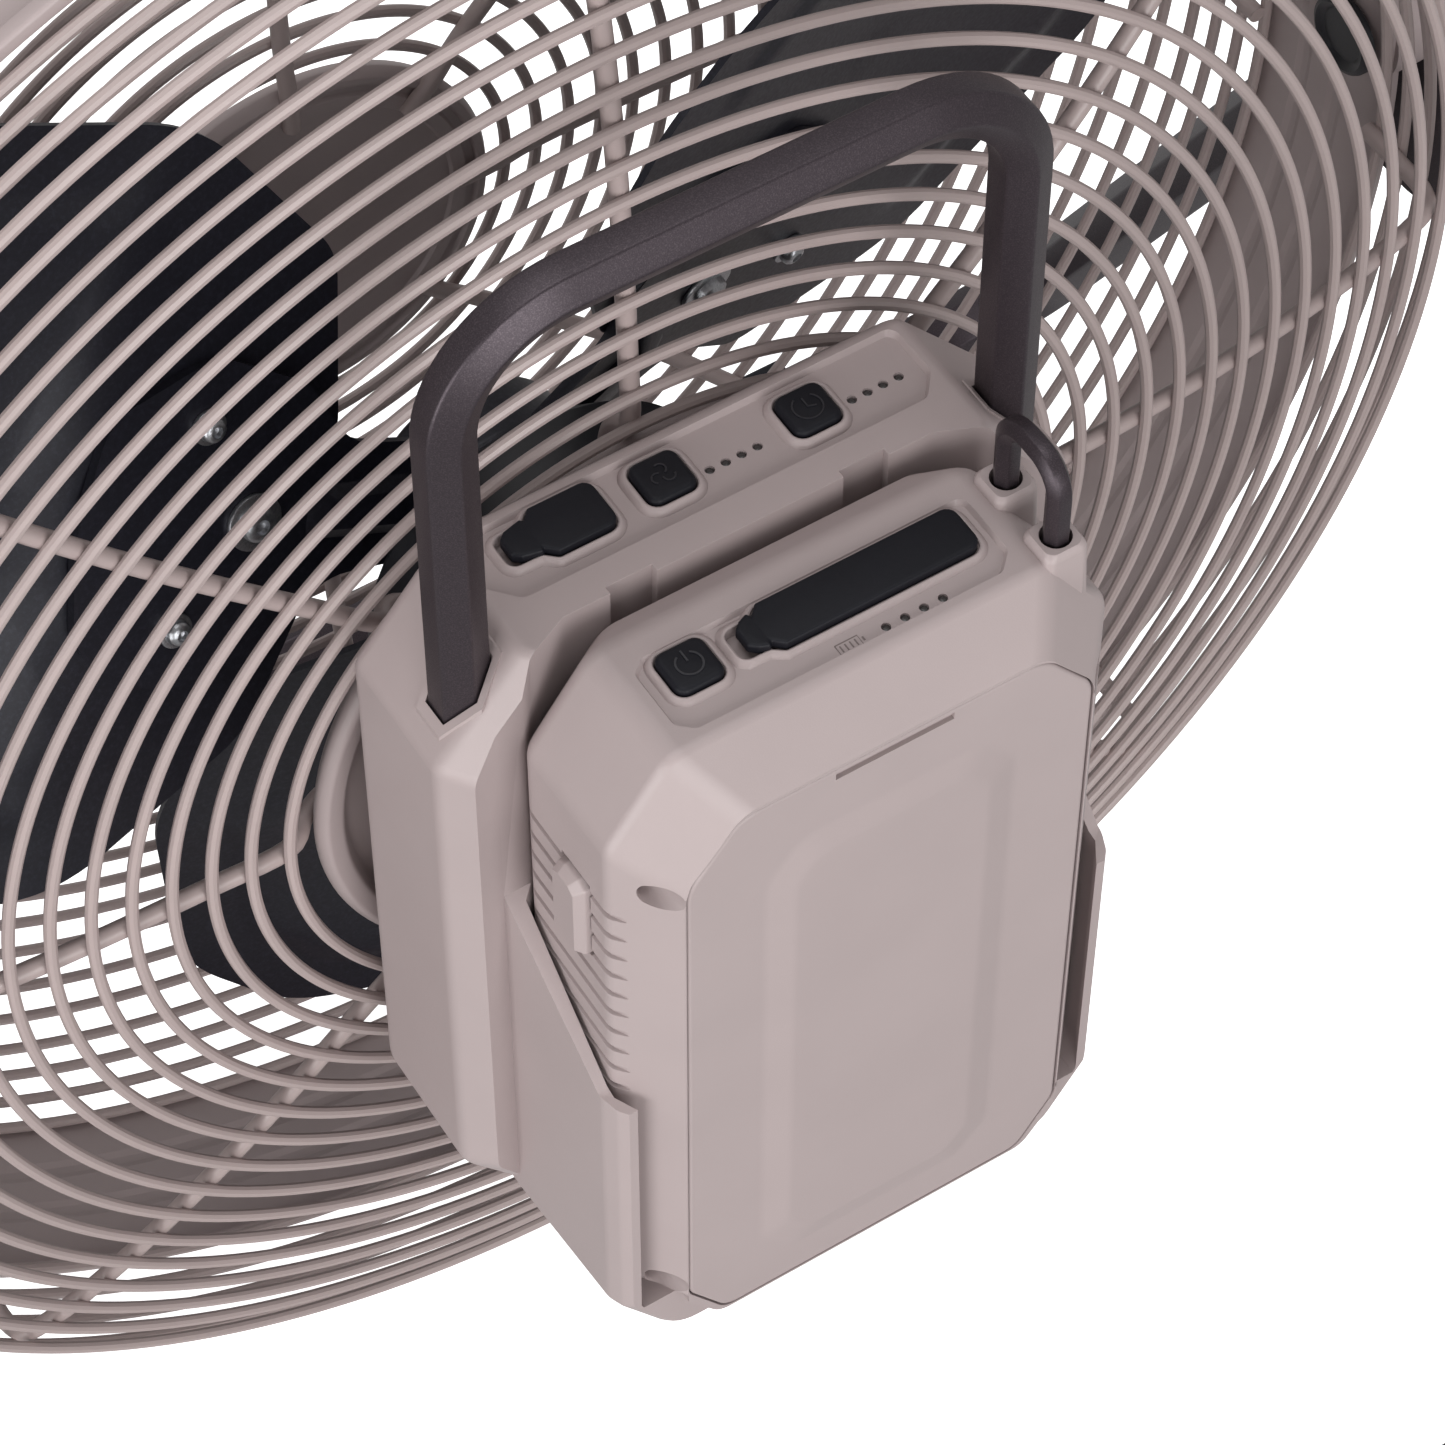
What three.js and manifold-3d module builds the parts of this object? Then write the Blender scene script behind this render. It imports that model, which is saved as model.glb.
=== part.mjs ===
// A cordless drum fan: a wire-guarded fan head on a bent hexagonal tube stand, with a motor and control
// housing behind it, a carry handle and a lift-out battery pack.
// Millimetres, +Z up. The air leaves toward -Y and the battery is on the +Y side.
// The origin is on the floor, below the middle of the object.
import * as THREE from "three";
import { mergeVertices } from "three/addons/utils/BufferGeometryUtils.js";
import Module from "manifold-3d";

const wasm = await Module();
wasm.setup();

// ---------------------------------------------------------------- driving sizes
const AXIS_Z = 252.6; // height of the fan axis
const GAP = 0.3; // clearance between neighbouring pieces

// Stand
const LEG_X = 247; // middle of the side legs
const PIVOT_Y = -27.5;
const PIVOT_Z = 272;
const BAR_Z = 10; // middle of the floor bars
const FRONT_BAR_Y = -182;
const REAR_BAR_Y = 182;
const TUBE_ACROSS = 12; // tube size in the plane of its bend
const TUBE_DEEP = 20; // tube size square to that plane
const STAND_BEND = 48;

// Drum and guards
const DRUM_R = 227;
const DRUM_FRONT = -61;
const DRUM_REAR = -16;
const RING_WIRE = 2.8;
const SPOKE_WIRE = 4.2;
const SPOKES = 8;
const RING_SEGMENTS = 24;
const BADGE_R = 49;
const HUB_PLATE_R = 78;

// Rotor
const BLADES = 3;
const BLADE_FIRST = 63; // degrees from straight up toward +X
const BLADE_PITCH = 20;
const ROTOR_Y = -33;

// Housing and battery
const TOP_Z = 350;
const HOUSING_X = 73;
const HOUSING_FRONT = 34;
const RAIL_X = 62.1;
const BAY_X = 58.3;
const BAY_FRONT = 72;
const BATTERY_X = 57.3;
const BATTERY_Y0 = 75;
const BATTERY_Y1 = 122;
const BATTERY_Z0 = 160.2;

// Handle
const HANDLE_X = 62.4;
const HANDLE_Y = 66.3;
const HANDLE_TOP = 436.7;

const TAUPE = { color: 0xbcb0ad, roughness: 0.55, metalness: 0.0 };
const WIRE = { color: 0xb4a6a1, roughness: 0.5, metalness: 0.2 };
const PLUM = { color: 0x5a5058, roughness: 0.38, metalness: 0.6 };
const RUBBER = { color: 0x1f1f26, roughness: 0.75, metalness: 0.0 };
const BLADE = { color: 0x2c2b31, roughness: 0.45, metalness: 0.3 };
const STEEL = { color: 0xb9bcbf, roughness: 0.3, metalness: 1.0 };
const DARK = { color: 0x18181b, roughness: 0.5, metalness: 0.1 };
const COPPER = { color: 0x9a5a34, roughness: 0.45, metalness: 0.9 };
const BOARD = { color: 0x1f4a34, roughness: 0.6, metalness: 0.0 };
const LAMP = { color: 0x4a4646, roughness: 0.3, metalness: 0.0 };

const group = new THREE.Group();
group.name = "cordless_drum_fan";

function material(look) {
  return new THREE.MeshStandardMaterial(look);
}

// ---------------------------------------------------------------- solids
function bare(geometry) {
  const g = geometry.index ? geometry.toNonIndexed() : geometry.clone();
  const out = new THREE.BufferGeometry();
  out.setAttribute("position", g.getAttribute("position").clone());
  return out;
}

function solid(geometry) {
  const merged = mergeVertices(bare(geometry), 1e-4);
  const make = (tris) =>
    new wasm.Manifold(
      new wasm.Mesh({
        numProp: 3,
        vertProperties: new Float32Array(merged.attributes.position.array),
        triVerts: tris,
      }),
    );
  const tris = new Uint32Array(merged.index.array);
  const made = make(tris);
  if (made.volume() > 0) return made;
  for (let i = 0; i < tris.length; i += 3) {
    const keep = tris[i + 1];
    tris[i + 1] = tris[i + 2];
    tris[i + 2] = keep;
  }
  return make(tris);
}

function geometryOf(manifold) {
  const mesh = manifold.getMesh();
  const g = new THREE.BufferGeometry();
  g.setAttribute("position", new THREE.BufferAttribute(new Float32Array(mesh.vertProperties), 3));
  g.setIndex(new THREE.BufferAttribute(new Uint32Array(mesh.triVerts), 1));
  const flat = g.toNonIndexed();
  flat.computeVertexNormals();
  return flat;
}

function union(list) {
  return list.reduce((a, b) => a.add(b));
}

function add(name, body, look) {
  const manifold = body.isBufferGeometry ? solid(body) : body;
  const mesh = new THREE.Mesh(geometryOf(manifold), material(look));
  mesh.name = name;
  group.add(mesh);
  return mesh;
}

// ---------------------------------------------------------------- shapes
function polygon(points) {
  return new THREE.Shape(points.map(([x, y]) => new THREE.Vector2(x, y)));
}

// A polygon in X-Y, raised from z0 to z1.
function prismZ(points, z0, z1) {
  const g = new THREE.ExtrudeGeometry(polygon(points), { depth: z1 - z0, bevelEnabled: false });
  return solid(g.translate(0, 0, z0));
}

// A polygon in X-Z, drawn from y0 to y1.
function prismY(points, y0, y1) {
  const g = new THREE.ExtrudeGeometry(polygon(points), { depth: y1 - y0, bevelEnabled: false });
  return solid(g.rotateX(Math.PI / 2).translate(0, y1, 0));
}

// A polygon in Y-Z, drawn from x0 to x1.
function prismX(points, x0, x1) {
  const g = new THREE.ExtrudeGeometry(polygon(points), { depth: x1 - x0, bevelEnabled: false });
  const turn = new THREE.Matrix4().makeBasis(
    new THREE.Vector3(0, 1, 0),
    new THREE.Vector3(0, 0, 1),
    new THREE.Vector3(1, 0, 0),
  );
  return solid(g.applyMatrix4(turn).translate(x0, 0, 0));
}

function box(x0, x1, y0, y1, z0, z1) {
  const g = new THREE.BoxGeometry(x1 - x0, y1 - y0, z1 - z0);
  return solid(g.translate((x0 + x1) / 2, (y0 + y1) / 2, (z0 + z1) / 2));
}

// A round bar along Y, X or Z.
function barY(r, y0, y1, x = 0, z = AXIS_Z, sides = 24) {
  const g = new THREE.CylinderGeometry(r, r, y1 - y0, sides);
  return solid(g.translate(x, (y0 + y1) / 2, z));
}
function barZ(r, z0, z1, x, y, sides = 12) {
  const g = new THREE.CylinderGeometry(r, r, z1 - z0, sides).rotateX(Math.PI / 2);
  return solid(g.translate(x, y, (z0 + z1) / 2));
}
function barX(r, x0, x1, y, z, sides = 16) {
  const g = new THREE.CylinderGeometry(r, r, Math.abs(x1 - x0), sides).rotateZ(Math.PI / 2);
  return solid(g.translate((x0 + x1) / 2, y, z));
}

// A closed profile of [radius, y] points turned about the fan axis.
function turned(profile, segments = 32) {
  const points = profile.map(([r, y]) => new THREE.Vector2(r, y));
  if (profile[0][0] > 1e-6) points.push(points[0].clone());
  return solid(new THREE.LatheGeometry(points, segments).translate(0, 0, AXIS_Z));
}

// A polyline that ExtrudeGeometry follows point by point.
class Route extends THREE.Curve {
  constructor(points) {
    super();
    this.stops = points;
  }
  getPoint(t) {
    const last = this.stops.length - 1;
    const i = Math.min(Math.floor(t * last), last - 1);
    return this.stops[i].clone().lerp(this.stops[i + 1], t * last - i);
  }
  getPointAt(u) {
    return this.getPoint(u);
  }
  getSpacedPoints() {
    return this.stops;
  }
  getTangentAt(u) {
    const last = this.stops.length - 1;
    const i = Math.round(u * last);
    const before = this.stops[Math.max(i - 1, 0)];
    const after = this.stops[Math.min(i + 1, last)];
    const here = this.stops[i];
    const back = here.clone().sub(before);
    const on = after.clone().sub(here);
    return back.normalize().add(on.normalize()).normalize();
  }
}

function swept(section, points) {
  const path = new Route(points.map(([x, y, z]) => new THREE.Vector3(x, y, z)));
  return new THREE.ExtrudeGeometry(polygon(section), {
    steps: points.length - 1,
    extrudePath: path,
    bevelEnabled: false,
  });
}

function regular(r, sides, start = 0) {
  const out = [];
  for (let i = 0; i < sides; i++) {
    const a = start + (2 * Math.PI * i) / sides;
    out.push([r * Math.cos(a), r * Math.sin(a)]);
  }
  return out;
}

// Corners of a flat path rounded with arcs of the given radius.
function rounded(corners, radius, pieces) {
  const out = [corners[0]];
  for (let i = 1; i < corners.length - 1; i++) {
    const p = new THREE.Vector2(...corners[i]);
    const a = new THREE.Vector2(...corners[i - 1]).sub(p).normalize();
    const b = new THREE.Vector2(...corners[i + 1]).sub(p).normalize();
    const half = Math.acos(THREE.MathUtils.clamp(a.dot(b), -1, 1)) / 2;
    const reach = radius / Math.tan(half);
    const centre = p.clone().add(a.clone().add(b).normalize().multiplyScalar(radius / Math.sin(half)));
    const from = p.clone().add(a.clone().multiplyScalar(reach)).sub(centre);
    const to = p.clone().add(b.clone().multiplyScalar(reach)).sub(centre);
    const start = Math.atan2(from.y, from.x);
    let sweep = Math.atan2(to.y, to.x) - start;
    if (sweep > Math.PI) sweep -= 2 * Math.PI;
    if (sweep < -Math.PI) sweep += 2 * Math.PI;
    for (let k = 0; k <= pieces; k++) {
      const t = start + (sweep * k) / pieces;
      out.push([centre.x + radius * Math.cos(t), centre.y + radius * Math.sin(t)]);
    }
  }
  out.push(corners[corners.length - 1]);
  return out;
}

// ---------------------------------------------------------------- stand
// Each half of the stand is a U of flattened hexagonal tube. It is bent flat, then leaned over.
const hexTube = [
  [TUBE_DEEP / 2, 0],
  [TUBE_DEEP / 4, TUBE_ACROSS / 2],
  [-TUBE_DEEP / 4, TUBE_ACROSS / 2],
  [-TUBE_DEEP / 2, 0],
  [-TUBE_DEEP / 4, -TUBE_ACROSS / 2],
  [TUBE_DEEP / 4, -TUBE_ACROSS / 2],
];

function standHalf(barY0) {
  const run = barY0 - PIVOT_Y;
  const drop = PIVOT_Z - BAR_Z;
  const long = Math.hypot(run, drop);
  const top = 22; // the tube stops short of the pivot, inside the bracket
  const path = rounded(
    [
      [LEG_X, -top],
      [LEG_X, -long],
      [-LEG_X, -long],
      [-LEG_X, -top],
    ],
    STAND_BEND,
    6,
  );
  const g = swept(
    hexTube,
    path.map(([x, y]) => [x, y, 0]),
  );
  // flat -Y runs down the leg
  const down = new THREE.Vector3(0, run / long, -drop / long);
  const up = down.clone().negate();
  const side = new THREE.Vector3(1, 0, 0);
  const turn = new THREE.Matrix4().makeBasis(side, up, side.clone().cross(up));
  return solid(g.applyMatrix4(turn).translate(0, PIVOT_Y, PIVOT_Z));
}

add("stand_front_tube", standHalf(FRONT_BAR_Y), PLUM);
add("stand_rear_tube", standHalf(REAR_BAR_Y), PLUM);

// Pivot brackets: a hooded casting on each side that takes both tube ends and carries the head.
for (const [side, name] of [
  [1, "left"],
  [-1, "right"],
]) {
  const outline = rounded(
    [
      [PIVOT_Y, PIVOT_Z + 21],
      [PIVOT_Y + 21, PIVOT_Z + 21],
      [PIVOT_Y + 40, PIVOT_Z - 44],
      [PIVOT_Y + 12, PIVOT_Z - 50],
      [PIVOT_Y - 12, PIVOT_Z - 50],
      [PIVOT_Y - 40, PIVOT_Z - 44],
      [PIVOT_Y - 21, PIVOT_Z + 21],
      [PIVOT_Y, PIVOT_Z + 21],
    ],
    9,
    2,
  ).slice(1);
  const x0 = side > 0 ? 238 : -256;
  const body = prismX(outline, x0, x0 + 18);
  const bore = barX(4.6, side * 230, side * 262, PIVOT_Y, PIVOT_Z, 16);
  const shadow = (barY0) => {
    const run = barY0 - PIVOT_Y;
    const drop = PIVOT_Z - BAR_Z;
    const long = Math.hypot(run, drop);
    const fat = hexTube.map(([a, b]) => [a * 1.04, b * 1.07]);
    const g = swept(fat, [
      [0, -21.5, 0],
      [0, -90, 0],
    ]);
    const up = new THREE.Vector3(0, -run / long, drop / long);
    const across = new THREE.Vector3(1, 0, 0);
    const turn = new THREE.Matrix4().makeBasis(across, up, across.clone().cross(up));
    return solid(g.applyMatrix4(turn).translate(side * LEG_X, PIVOT_Y, PIVOT_Z));
  };
  add(
    `pivot_bracket_${name}`,
    body.subtract(bore).subtract(shadow(FRONT_BAR_Y)).subtract(shadow(REAR_BAR_Y)),
    PLUM,
  );
  // Tilt knob: a lobed black knob moulded on a stud that threads into the drum's pivot boss.
  const grip = [];
  for (let i = 0; i < 18; i++) {
    const a = (2 * Math.PI * i) / 18;
    const r = i % 3 === 0 ? 15 : 17.5;
    grip.push([PIVOT_Y + r * Math.cos(a), PIVOT_Z + r * Math.sin(a)]);
  }
  const k0 = side > 0 ? 256.5 : -270.5;
  const knob = prismX(grip, k0, k0 + 14);
  const stud = barX(4.1, side * 233, side * 258, PIVOT_Y, PIVOT_Z, 12);
  add(`tilt_knob_${name}`, knob.add(stud), DARK);
}

// Rubber feet clipped round the floor bars.
for (const [end, y] of [
  ["front", FRONT_BAR_Y],
  ["rear", REAR_BAR_Y],
]) {
  const run = y - PIVOT_Y;
  const drop = PIVOT_Z - BAR_Z;
  const long = Math.hypot(run, drop);
  for (const [side, name] of [
    [1, "left"],
    [-1, "right"],
  ]) {
    const x = side * 165;
    const block = prismX(
      [
        [y - 14, 0],
        [y + 14, 0],
        [y + 14, 12],
        [y + 9, 24],
        [y - 9, 24],
        [y - 14, 12],
      ],
      x - 15,
      x + 15,
    );
    const fat = hexTube.map(([a, b]) => [a * 1.035, b * 1.06]);
    const cut = swept(fat, [
      [-40, 0, 0],
      [40, 0, 0],
    ]);
    const up = new THREE.Vector3(0, -run / long, drop / long);
    const across = new THREE.Vector3(1, 0, 0);
    const turn = new THREE.Matrix4().makeBasis(across, up, across.clone().cross(up));
    const hole = solid(cut.applyMatrix4(turn).translate(x, y, BAR_Z));
    add(`foot_${end}_${name}`, block.subtract(hole), RUBBER);
  }
}

// ---------------------------------------------------------------- drum
const drumShell = turned(
  [
    [DRUM_R, DRUM_FRONT],
    [DRUM_R + 4.5, DRUM_FRONT],
    [DRUM_R + 4.5, DRUM_FRONT + 3],
    [DRUM_R + 2.2, DRUM_FRONT + 4.5],
    [DRUM_R + 2.2, DRUM_REAR - 4.5],
    [DRUM_R + 4.5, DRUM_REAR - 3],
    [DRUM_R + 4.5, DRUM_REAR],
    [DRUM_R, DRUM_REAR],
  ],
  48,
);
let drum = drumShell;
for (const side of [1, -1]) {
  const boss = barX(13, side * 226, side * 237.6, PIVOT_Y, PIVOT_Z, 16);
  drum = drum.add(boss);
}
for (const side of [1, -1]) {
  drum = drum.subtract(barX(4.6, side * 215, side * 240, PIVOT_Y, PIVOT_Z, 10));
}
add("drum_band", drum, TAUPE);

for (const [side, name] of [
  [1, "left"],
  [-1, "right"],
]) {
  const cap = barX(10, side * 221, side * 224.2, PIVOT_Y, PIVOT_Z, 16);
  const neck = barX(3.9, side * 221.5, side * 232.4, PIVOT_Y, PIVOT_Z, 12);
  add(`pivot_cap_${name}`, cap.add(neck), DARK);
}

// ---------------------------------------------------------------- guards
function ring(r, y) {
  const w = RING_WIRE / 2;
  return turned(
    [
      [r - w, y],
      [r, y - w],
      [r + w, y],
      [r, y + w],
    ],
    RING_SEGMENTS,
  );
}

function guard(rings, spokePath) {
  const parts = rings.map(([r, y]) => ring(r, y));
  const section = regular(SPOKE_WIRE / 2, 4);
  const spoke = swept(
    section,
    spokePath.map(([r, y]) => [0, y, r]),
  );
  for (let i = 0; i < SPOKES; i++) {
    const g = spoke.clone().rotateY((2 * Math.PI * i) / SPOKES);
    parts.push(solid(g.translate(0, 0, AXIS_Z)));
  }
  return union(parts);
}

// Each guard's rings lie outside its spokes. The rear spokes tuck under the hub plate.
const onSpoke = 2.9;
function rearDome(r) {
  const t = (r - 116) / 116;
  return 29.6 - 4.2 * t - 6.9 * t * t - 6.3 * t * t * t;
}
const rearRings = [84.9, 111.9, 138.9, 165.9, 192.9].map((r) => [r, rearDome(r)]);
add(
  "rear_guard",
  guard(
    [[60, 20.4], ...rearRings, [214, rearDome(214) - 0.4], [225.2, 4], [225.2, -14.2]],
    [
      [58.6, 18.2],
      [73, 18.8],
      [83, rearDome(84) - onSpoke],
      [130, rearDome(130) - onSpoke],
      [168, rearDome(168) - onSpoke],
      [192.9, rearDome(192.9) - onSpoke],
      [214, rearDome(214) - onSpoke],
      [222.3, 6.6],
      [222.3, -15.2],
    ],
  ),
  WIRE,
);

add(
  "front_guard",
  guard(
    [
      [54.8, -116.6],
      [81, -117],
      [108, -116.8],
      [135, -114],
      [162, -109],
      [189, -104.2],
      [212, -100],
      [225.2, -86],
      [225.2, -57.5],
    ],
    [
      [51, -113.6],
      [108, -113.8],
      [135, -111.1],
      [162, -106.1],
      [189, -101.3],
      [210.6, -97.4],
      [222.3, -85],
      [222.3, -56.5],
    ],
  ),
  WIRE,
);

// Blank badge disc with a raised rim.
add(
  "front_badge",
  turned([
    [0, -117.5],
    [44, -117.5],
    [45.5, -119.5],
    [49, -119.5],
    [49.4, -116],
    [47, -113],
    [0, -113],
  ], 24),
  TAUPE,
);

// ---------------------------------------------------------------- motor
// Dished plate between the guard and the housing. It carries the motor in front and the housing behind.
add(
  "hub_plate",
  turned([
    [11.3, 22],
    [70, 22],
    [75.4, 24],
    [78, 27.5],
    [75.8, 30],
    [71, 25],
    [17, 25],
    [17, 30],
    [11.3, 30],
  ], 24),
  TAUPE,
);
add("bearing_rear", turned([[4.3, 22.6], [11, 22.6], [11, 29.4], [4.3, 29.4]], 16), STEEL);
add(
  "motor_case",
  turned([
    [39.6, 21.6],
    [42, 21.6],
    [42, -14],
    [40, -16],
    [11.3, -16],
    [11.3, -9],
    [14, -9],
    [14, -13.4],
    [39.6, -13.4],
  ], 24),
  DARK,
);
add("bearing_front", turned([[4.3, -15.6], [11, -15.6], [11, -9.4], [4.3, -9.4]], 16), STEEL);
add("motor_stator", turned([[23, -6], [39.2, -6], [39.2, 16], [23, 16]], 20), COPPER);
add("magnet_ring", turned([[4.3, -4], [22, -4], [22, 14], [4.3, 14]], 20), STEEL);
add("rotor_shaft", turned([[0, -45], [4, -45], [4, 28], [0, 28]], 16), STEEL);

// ---------------------------------------------------------------- rotor
// Blade and arm outlines: across the blade (toward the trailing side), then out from the axis.
const bladeOutline = [
  [-24, 42],
  [-46, 48],
  [-66, 62],
  [-80, 84],
  [-86, 112],
  [-84, 146],
  [-74, 172],
  [-52, 190],
  [-24, 199],
  [6, 201],
  [38, 197],
  [64, 186],
  [80, 168],
  [86, 144],
  [82, 112],
  [70, 80],
  [52, 56],
  [30, 43],
];
const armOutline = [
  [-13, 12],
  [-16, 40],
  [-26, 58],
  [-34, 76],
  [-32, 92],
  [-20, 101],
  [0, 104],
  [20, 101],
  [32, 92],
  [34, 76],
  [26, 58],
  [16, 40],
  [13, 12],
];

function pitched(outline, back, front) {
  // drawn in X-Z with Z outwards, pitched about its own radius, then laid at the rotor's station
  const g = new THREE.ExtrudeGeometry(polygon(outline), { depth: back - front, bevelEnabled: false });
  g.rotateX(Math.PI / 2).translate(0, back, 0);
  g.rotateZ(THREE.MathUtils.degToRad(BLADE_PITCH));
  return g;
}

function around(geometry, index) {
  const a = THREE.MathUtils.degToRad(BLADE_FIRST + (360 / BLADES) * index);
  return solid(geometry.clone().rotateY(a).translate(0, ROTOR_Y, AXIS_Z));
}

const arm = pitched(armOutline, 2.6, -0.4);
const hubDisc = turned([[0, -46.5], [22, -46.5], [24, -42], [24, -26], [20, -22], [4.3, -22], [4.3, -42], [0, -42]], 24);
const shaftHole = barY(4.3, -45.3, -20, 0, AXIS_Z, 16);
add("spider_hub", union([hubDisc, ...[0, 1, 2].map((i) => around(arm, i))]).subtract(shaftHole), BLADE);

const bladeGeometry = pitched(bladeOutline, -0.7, -2.5);
const screwAt = [
  ["bolt", 0, 64.2, 2.6, 6.4],
  ["screw_a", -21, 82, 2.1, 4.2],
  ["screw_b", 21, 82, 2.1, 4.2],
];

function screwBody(across, out, shank, head, grow) {
  const g1 = new THREE.CylinderGeometry(shank + grow, shank + grow, 9, 8).translate(across, -0.5, out);
  const g2 = new THREE.CylinderGeometry(head, head, 2.4, 12).translate(across, 4.1, out);
  const turn = THREE.MathUtils.degToRad(BLADE_PITCH);
  return grow > 0 ? [g1.rotateZ(turn)] : [g1.rotateZ(turn), g2.rotateZ(turn)];
}

const spider = group.getObjectByName("spider_hub");
let spiderSolid = solid(spider.geometry);
for (let i = 0; i < BLADES; i++) {
  let blade = around(bladeGeometry, i);
  for (const [kind, across, out, shank, head] of screwAt) {
    const hole = around(screwBody(across, out, shank, head, 0.3)[0], i);
    blade = blade.subtract(hole);
    spiderSolid = spiderSolid.subtract(hole);
    const [a, b] = screwBody(across, out, shank, head, 0);
    add(`blade_${i + 1}_${kind}`, around(a, i).add(around(b, i)), STEEL);
  }
  add(`blade_${i + 1}`, blade, BLADE);
}
spider.geometry = geometryOf(spiderSolid);

// ---------------------------------------------------------------- housing
const front = prismY(
  [
    [-50, 154],
    [50, 154],
    [HOUSING_X, 185],
    [HOUSING_X, 326],
    [53, TOP_Z],
    [-53, TOP_Z],
    [-HOUSING_X, 326],
    [-HOUSING_X, 185],
  ],
  HOUSING_FRONT,
  81,
);
const cradle = prismY(
  [
    [-48, 156.4],
    [48, 156.4],
    [RAIL_X + 0.2, 177.5],
    [RAIL_X + 0.2, 300],
    [-RAIL_X - 0.2, 300],
    [-RAIL_X - 0.2, 177.5],
  ],
  60,
  117.6,
);
// The side rails slope down toward the rear and level out behind the battery's corners.
const railCut = prismX(
  [
    [78.7, 400],
    [78.7, 281.6],
    [110.5, 250.6],
    [117.7, 249],
    [130, 249],
    [130, 400],
  ],
  -90,
  90,
);
// The upright corners of the side walls are chamfered and end in a low ridge.
const frontPlan = prismZ(
  [
    [-70, HOUSING_FRONT],
    [70, HOUSING_FRONT],
    [HOUSING_X + 0.2, 41],
    [HOUSING_X + 0.2, 74],
    [68.2, 80.8],
    [RAIL_X, 78.8],
    [-RAIL_X, 78.8],
    [-68.2, 80.8],
    [-HOUSING_X - 0.2, 74],
    [-HOUSING_X - 0.2, 41],
  ],
  150,
  355,
);
// The rails taper and turn inward round the battery's rear corners.
const railPlan = prismZ(
  [
    [RAIL_X, 58],
    [RAIL_X, 79],
    [60.6, 112],
    [58.6, 115.8],
    [56.3, 117.5],
    [-56.3, 117.5],
    [-58.6, 115.8],
    [-60.6, 112],
    [-RAIL_X, 79],
    [-RAIL_X, 58],
  ],
  150,
  310,
);
const bayPlan = [
  [52.6, 140],
  [52.6, 117.4],
  [BAY_X, 110],
  [BAY_X, 79],
  [50, BAY_FRONT],
  [33, BAY_FRONT],
  [33, BAY_FRONT - 4],
  [22, BAY_FRONT - 4],
  [22, BAY_FRONT],
  [-22, BAY_FRONT],
  [-22, BAY_FRONT - 4],
  [-33, BAY_FRONT - 4],
  [-33, BAY_FRONT],
  [-50, BAY_FRONT],
  [-BAY_X, 79],
  [-BAY_X, 110],
  [-52.6, 117.4],
  [-52.6, 140],
];
const baySide = [
  [-BAY_X, 380],
  [-BAY_X, 177.8],
  [-55, 170.4],
  [-47.3, 170.4],
  [-39.5, 159.6],
  [39.5, 159.6],
  [47.3, 170.4],
  [55, 170.4],
  [BAY_X, 177.8],
  [BAY_X, 380],
];
const bay = prismZ(bayPlan, 150, 380).intersect(prismY(baySide, 60, 145));
const works = box(-48, 48, 30, 62, 205, 340);
const panelRecess = box(-49, 49, 43.5, 64, 348.4, 352);

const speedAt = [8.2, 52.6];
const timerAt = [-24.6, 53.4];
const lampPitch = 3.65;
const speedLamps = [-1.2, 54.8];
const timerLamps = [-34, 54.8];
const dcAt = [28.8, 52];
const buttonHalf = 5.4;

let shell = front
  .intersect(frontPlan)
  .add(cradle.subtract(railCut).intersect(railPlan))
  .subtract(bay)
  .subtract(works)
  .subtract(box(-16.3, 16.3, 58, 76, 209.7, 217.3))
  .subtract(panelRecess);
for (const [x, y] of [speedAt, timerAt]) {
  const s = buttonHalf + GAP;
  shell = shell.subtract(box(x - s, x + s, y - s, y + s, 330, 355));
}
for (const [x, y] of [speedLamps, timerLamps]) {
  for (let i = 0; i < 4; i++) shell = shell.subtract(barZ(1.1, 336, 352, x - lampPitch * i, y, 8));
}
shell = shell.subtract(box(dcAt[0] - 6, dcAt[0] + 6, dcAt[1] - 4, dcAt[1] + 4, 336, 352));

// Carry handle: a hexagonal bar bent into a U, its legs let into sockets in the shoulders.
const handleSection = [
  [6.2, 0],
  [3.1, 5.4],
  [-3.1, 5.4],
  [-6.2, 0],
  [-3.1, -5.4],
  [3.1, -5.4],
];
const handlePath = rounded(
  [
    [HANDLE_X, 302],
    [HANDLE_X, HANDLE_TOP],
    [-HANDLE_X, HANDLE_TOP],
    [-HANDLE_X, 302],
  ],
  26,
  6,
);
const upright = new THREE.Matrix4().makeBasis(
  new THREE.Vector3(1, 0, 0),
  new THREE.Vector3(0, 0, 1),
  new THREE.Vector3(0, -1, 0),
);
function handleBody(section) {
  const g = swept(
    section,
    handlePath.map(([x, y]) => [x, y, 0]),
  );
  return solid(g.applyMatrix4(upright).translate(0, HANDLE_Y, 0));
}
for (const side of [1, -1]) {
  const x = side * HANDLE_X;
  const hexAround = (r, z0, z1) =>
    prismZ(
      regular(r, 6, Math.PI / 2).map(([a, b]) => [a + x, b + HANDLE_Y]),
      z0,
      z1,
    );
  shell = shell.subtract(hexAround(6.9, 301.5, 360)).subtract(hexAround(8.9, 322, 360));
  const trim = hexAround(8.5, 322.4, 352)
    .subtract(hexAround(6.7, 300, 360))
    .subtract(
      prismY(
        [
          [side * 52, 351.5],
          [side * 75, 324.8],
          [side * 90, 324.8],
          [side * 90, 380],
          [side * 52, 380],
        ],
        50,
        90,
      ),
    )
    .subtract(box(side > 0 ? 40 : -57, side > 0 ? 57 : -40, 50, 90, 347.5, 360));
  add(`handle_trim_${side > 0 ? "left" : "right"}`, trim, TAUPE);
}
add("carry_handle", handleBody(handleSection), PLUM);
add("housing_shell", shell, TAUPE);

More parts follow.
